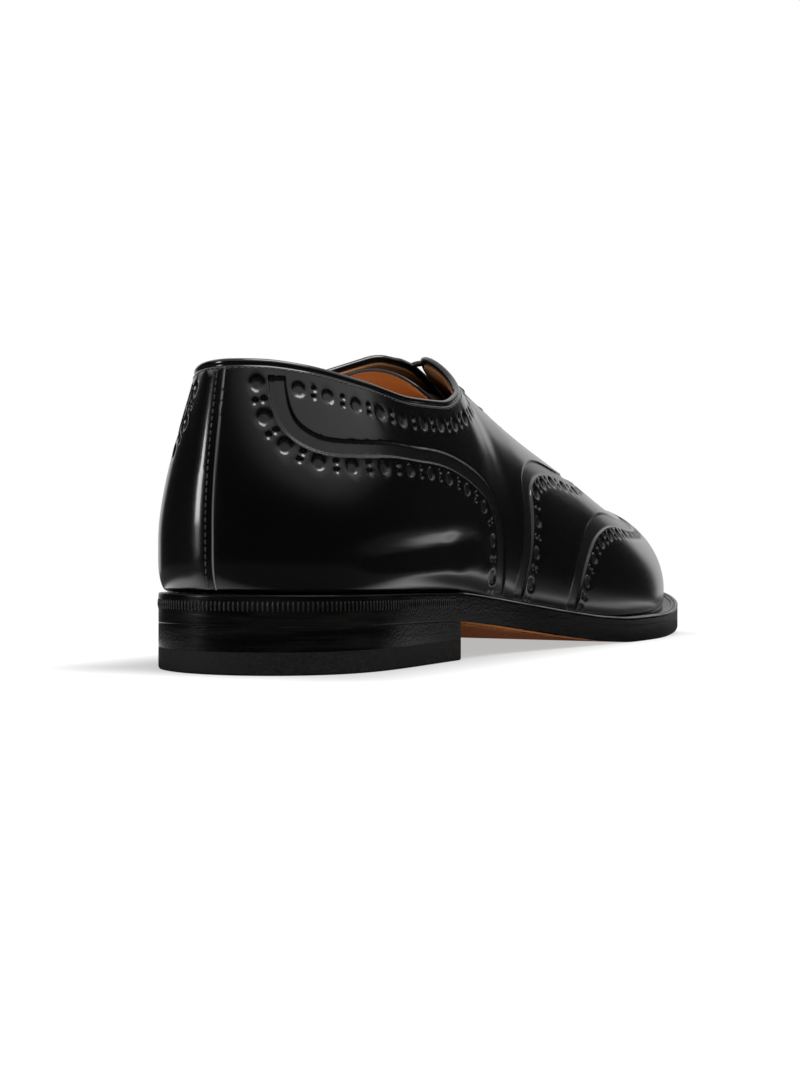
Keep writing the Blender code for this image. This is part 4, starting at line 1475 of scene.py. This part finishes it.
outsole = edge_sheet("outsole_leather", OUTSOLE_PROFILE, EDGE_COLUMNS, underside, closed_middle=True)
join_doubles(outsole, distance=0.01)
bpy.ops.object.shade_smooth_by_angle(angle=math.radians(45))
sole_tan, sole_shader = new_finish("tan_sole_leather", SOLE_TAN, roughness=0.5)
add_grain(sole_tan, sole_shader, (900.0, 24.0), (SOLE_TAN_DARK, SOLE_TAN),
          rough=(0.35, 0.55), relief=(0.25, 0.0003))
outsole.data.materials.append(black_edge)
outsole.data.materials.append(sole_tan)
for face in outsole.data.polygons:
    face.material_index = 1 if face.normal.z < UNDERSIDE_FACING else 0
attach(outsole, "root")
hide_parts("outsole")

SOLE_THREAD = (0.62, 0.42, 0.24)
SOLE_THREAD_DARK = (0.45, 0.27, 0.13)
sole_thread, sole_thread_shader = new_finish("sole_thread", SOLE_THREAD, roughness=0.6)
add_grain(sole_thread, sole_thread_shader, (4000.0, 400.0), (SOLE_THREAD_DARK, SOLE_THREAD))


def channel_height(x):
    """Height of the stitches in the channel of the underside."""
    return underside(x) + CHANNEL_STITCH_RISE


channel_line = line_round_edge(CHANNEL_STITCH_INSET, channel_height, CHANNEL_STITCH_START)
channel_down = np.tile([0.0, 0.0, -1.0], (len(channel_line), 1))
channel_stitches = sew_line(
    "sole_stitches", channel_line, channel_down, CHANNEL_STITCH_SPACING, CHANNEL_STITCH, sole_thread)


# Heel
# Lifts of sole leather, pegged together and trimmed flush with the sole, then waxed black with it.
# A top piece of grey rubber takes the wear.
HEEL_LENGTH = 79.0
TOP_PIECE_THICKNESS = 6.0
HEEL_COLUMNS = 60
LIFT_PROFILE = [
    (14.0, 0.0), (0.2, 0.0), (0.03, 0.002), (0.0, 0.008), (0.0, 0.016), (0.0, 0.45), (0.0, 0.458),
    (0.04, 0.462), (0.04, 0.468), (0.0, 0.472), (0.0, 0.48), (0.0, 0.984), (0.0, 0.992), (0.03, 0.998),
    (0.2, 1.0), (14.0, 1.0),
]
TOP_PIECE_PROFILE = [
    (14.0, 0.0), (0.8, 0.0), (0.25, 0.02), (0.0, 0.1), (0.0, 0.12), (0.0, 0.5), (0.0, 0.984), (0.0, 0.992),
    (0.03, 0.998), (0.2, 1.0), (14.0, 1.0),
]
LAYER_JOINT = 0.02
# Where the breast of the heel meets the sole's edge, on either side.
BREAST_LOOK_COUNT = 2000
fine_places = np.linspace(0, TOE_PLACE, BREAST_LOOK_COUNT)
breast_places = []
for side in (LATERAL, MEDIAL):
    edge_x = edge_line(fine_places, side, section_curves["welt"](fine_places))[:, 0]
    breast_places.append(np.interp(HEEL_LENGTH, edge_x, fine_places))


def fill_open_edges(fill, **settings):
    """Fills the open edges of the active piece and turns its faces outwards."""
    bpy.context.tool_settings.mesh_select_mode = (False, True, False)
    bpy.ops.object.mode_set(mode="EDIT")
    bpy.ops.mesh.select_all(action="DESELECT")
    bpy.ops.mesh.select_non_manifold()
    fill(**settings)
    bpy.ops.mesh.select_all(action="SELECT")
    bpy.ops.mesh.normals_make_consistent(inside=False)
    bpy.ops.object.mode_set(mode="OBJECT")


def heel_layer(name, profile, base, top):
    """A layer of the heel, closed at its breast."""
    layer = edge_sheet(
        name, profile, HEEL_COLUMNS, base, closed_middle=True, last_places=breast_places, top=top)
    join_doubles(layer, distance=0.01)
    fill_open_edges(bpy.ops.mesh.edge_face_add)
    bpy.ops.object.shade_smooth_by_angle(angle=math.radians(45))
    return layer


def lift_floor(x):
    """Height of the stack's lower face."""
    return np.full_like(x, TOP_PIECE_THICKNESS + LAYER_JOINT)


def lift_top(x):
    """Height of the stack's upper face."""
    return underside(x) - LAYER_JOINT


def top_piece_top(x):
    """Height of the top piece's upper face."""
    return np.full_like(x, TOP_PIECE_THICKNESS)


heel_stack = heel_layer("heel_stack", LIFT_PROFILE, lift_floor, lift_top)
heel_stack.data.materials.append(black_edge)
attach(heel_stack, "root")
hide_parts("heel_lift")

RUBBER_GREY = (0.005, 0.0046, 0.0042)
RUBBER_PALE = (0.014, 0.0125, 0.012)
RUBBER_SPECKLES = 1400.0
RUBBER_SPECKLED = (0.35, 0.75)
RUBBER_ROUGH = (0.6, 0.85)
RUBBER_RELIEF = (0.5, 0.0004)
RUBBER_SPECULAR = 0.15
heel_rubber = heel_layer("heel_rubber_piece", TOP_PIECE_PROFILE, np.zeros_like, top_piece_top)
grey_rubber, rubber_shader = new_finish("grey_rubber", RUBBER_GREY, roughness=0.7)
rubber_place = add_node(grey_rubber.node_tree, "ShaderNodeTexCoord")
rubber_speckle = add_node(grey_rubber.node_tree, "ShaderNodeTexNoise", {
    "Vector": rubber_place.outputs["Object"], "Scale": RUBBER_SPECKLES, "Detail": 5.0,
})
speckle = rubber_speckle.outputs["Fac"]
rubber_tone = tint(grey_rubber, speckle, RUBBER_GREY, RUBBER_PALE, *RUBBER_SPECKLED)
link(grey_rubber, rubber_tone, rubber_shader, "Base Color")
link(grey_rubber, spread(grey_rubber, speckle, *RUBBER_ROUGH), rubber_shader, "Roughness")
link(grey_rubber, bump(grey_rubber, speckle, *RUBBER_RELIEF), rubber_shader, "Normal")
rubber_shader.inputs["Specular IOR Level"].default_value = RUBBER_SPECULAR
heel_rubber.data.materials.append(grey_rubber)
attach(heel_rubber, "root")
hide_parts("heel_top_piece")

# Marks of the seat wheel: a band of fine upright ridges round the heel, and short ones along the welt.
SEAT_MARK_SPACING = 1.3
SEAT_MARK = (2.7, 0.6, 0.5)
SEAT_MARK_PLACES = (0.0, 4.9)
SEAT_MARK_BELOW = 0.3
MARK_LINE_POINTS = 600
WELT_MARK_SPACING = 1.05
WELT_MARK_INSET = 0.6
WELT_MARK = (1.4, 0.62, 0.5)


def wheel_marks(name, finish, inset, height_of, places, spacing, size, lying):
    """Ridges along the sole's edge: upright on its face, or lying across the ledge of the welt."""
    half = np.linspace(*places, MARK_LINE_POINTS)
    points = []
    outs = []
    for side in (LATERAL, MEDIAL):
        line, line_outs = line_on_edge(half, side, inset, height_of)
        numbers = evenly(line, spacing)
        points.append(pick(line, numbers))
        outs.append(pick(line_outs, numbers))
    points = np.concatenate(points)
    outs = np.concatenate(outs)
    upright = np.tile([0.0, 0.0, 1.0], (len(points), 1))
    marks = sew(name, points, outs if lying else upright, upright if lying else outs, size)
    marks.data.materials.append(finish)


def seat_mark_height(x):
    """Height of the middle of the seat wheel's marks."""
    return underside(x) + OUTSOLE_THICKNESS - SEAT_MARK_BELOW


TICK_GREY = (0.006, 0.006, 0.0058)
TICK_PALE = (0.018, 0.0176, 0.017)
worn_wax, worn_shader = new_finish("worn_wax", TICK_GREY, roughness=0.28)
add_grain(worn_wax, worn_shader, (2400.0, 160.0), (TICK_GREY, TICK_PALE), relief=(0.2, 0.0002))
wheel_marks("seat_wheel_marks", worn_wax, 0.0, seat_mark_height, SEAT_MARK_PLACES, SEAT_MARK_SPACING,
            SEAT_MARK, lying=False)
wheel_marks("welt_wheel_marks", welt_glint, WELT_MARK_INSET, welt_top, (WELT_STITCH_START, TOE_PLACE),
            WELT_MARK_SPACING, WELT_MARK, lying=True)


# Lace
# A thin round lace of waxed black cotton, laced straight: five bars cross the throat, and each goes
# down through an eyelet at both ends.
LACE_RADIUS = 0.95
LACE_ROWS = 12
LACE_COLUMNS = 60
# From an eyelet to the middle of the throat: steps up the facing, and how high over the calf.
LACE_STEPS = np.array([0.86, 0.862, 0.885, 0.92, 0.96, 1.0])
LACE_LIFTS = np.array([-0.9, 0.2, 0.75, 0.85, 0.85, 0.7])
# Direction that no bar follows, to turn its rings by, and half the length over which its own is measured.
LACE_SQUARE = (1.0, 0.0, 0.4)
LACE_LOOK = 0.05

lace_bars = []
for place in EYELET_PLACES:
    path = []
    for turn_of_side in (place, TURNS - place):
        turns = np.full(len(LACE_STEPS), turn_of_side)
        normals = calf_frame(turns, LACE_STEPS)[2]
        line = calf_point(turns, LACE_STEPS) + normals * LACE_LIFTS[:, None]
        path.extend(line if turn_of_side == place else line[::-1])
    path = np.array(path)
    marks = lengths_along(path)
    curves = [smooth_curve(marks, column) for column in path.T]
    bar, along, across = flat_sheet("lace_bar_cotton", LACE_COLUMNS, LACE_ROWS)
    spot = along / LACE_COLUMNS * marks[-1]
    middle = np.column_stack([curve(spot) for curve in curves])
    ahead = unit(np.column_stack([curve(spot + LACE_LOOK) - curve(spot - LACE_LOOK) for curve in curves]))
    level = unit(np.cross(ahead, np.tile(LACE_SQUARE, (len(ahead), 1))))
    raised = np.cross(level, ahead)
    angle = (across / LACE_ROWS * 2 * math.pi)[:, None]
    put_points(bar, middle + LACE_RADIUS * (np.cos(angle) * level + np.sin(angle) * raised))
    join_doubles(bar, distance=0.01)
    fill_open_edges(bpy.ops.mesh.fill_holes, sides=LACE_ROWS)
    bpy.ops.object.shade_smooth()
    lace_bars.append(bar)
bpy.ops.object.select_all(action="DESELECT")
for bar in lace_bars:
    bar.select_set(True)
bpy.context.view_layer.objects.active = lace_bars[0]
bpy.ops.object.join()
lace = bpy.context.object
lace.name = "cotton_lace"

COTTON_BLACK = (0.008, 0.008, 0.008)
COTTON_SHINE = (0.022, 0.022, 0.022)
# Squares of the braid along and round a bar, the slant at which they lie, and the strands in a square.
COTTON_BRAID = (60.0, 8.0, 1.0)
COTTON_SLANT = 0.6
COTTON_STRANDS = 3.0
COTTON_ROUGH = (0.5, 0.7)
COTTON_RELIEF = (0.4, 0.0002)
black_cotton, cotton_shader = new_finish("black_cotton", COTTON_BLACK, roughness=0.6)
cotton_uv = add_node(black_cotton.node_tree, "ShaderNodeTexCoord")
cotton_turn = add_node(black_cotton.node_tree, "ShaderNodeMapping", {
    "Vector": cotton_uv.outputs["UV"], "Scale": COTTON_BRAID, "Rotation": (0.0, 0.0, COTTON_SLANT),
})
cotton_braid = add_node(black_cotton.node_tree, "ShaderNodeTexChecker", {
    "Vector": cotton_turn.outputs["Vector"], "Scale": 1.0,
})
cotton_strands = add_node(black_cotton.node_tree, "ShaderNodeTexNoise", {
    "Vector": cotton_turn.outputs["Vector"], "Scale": COTTON_STRANDS, "Detail": 3.0,
})
strands = cotton_strands.outputs["Fac"]
cotton_height = calculate(black_cotton.node_tree, "ADD", cotton_braid.outputs["Fac"], strands)
link(black_cotton, tint(black_cotton, strands, COTTON_BLACK, COTTON_SHINE), cotton_shader, "Base Color")
link(black_cotton, spread(black_cotton, strands, *COTTON_ROUGH), cotton_shader, "Roughness")
link(black_cotton, bump(black_cotton, cotton_height, *COTTON_RELIEF), cotton_shader, "Normal")
lace.data.materials.append(black_cotton)
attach(lace, "root")
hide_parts("lace_bar_1", "lace_bar_2", "lace_bar_3", "lace_bar_4", "lace_bar_5")
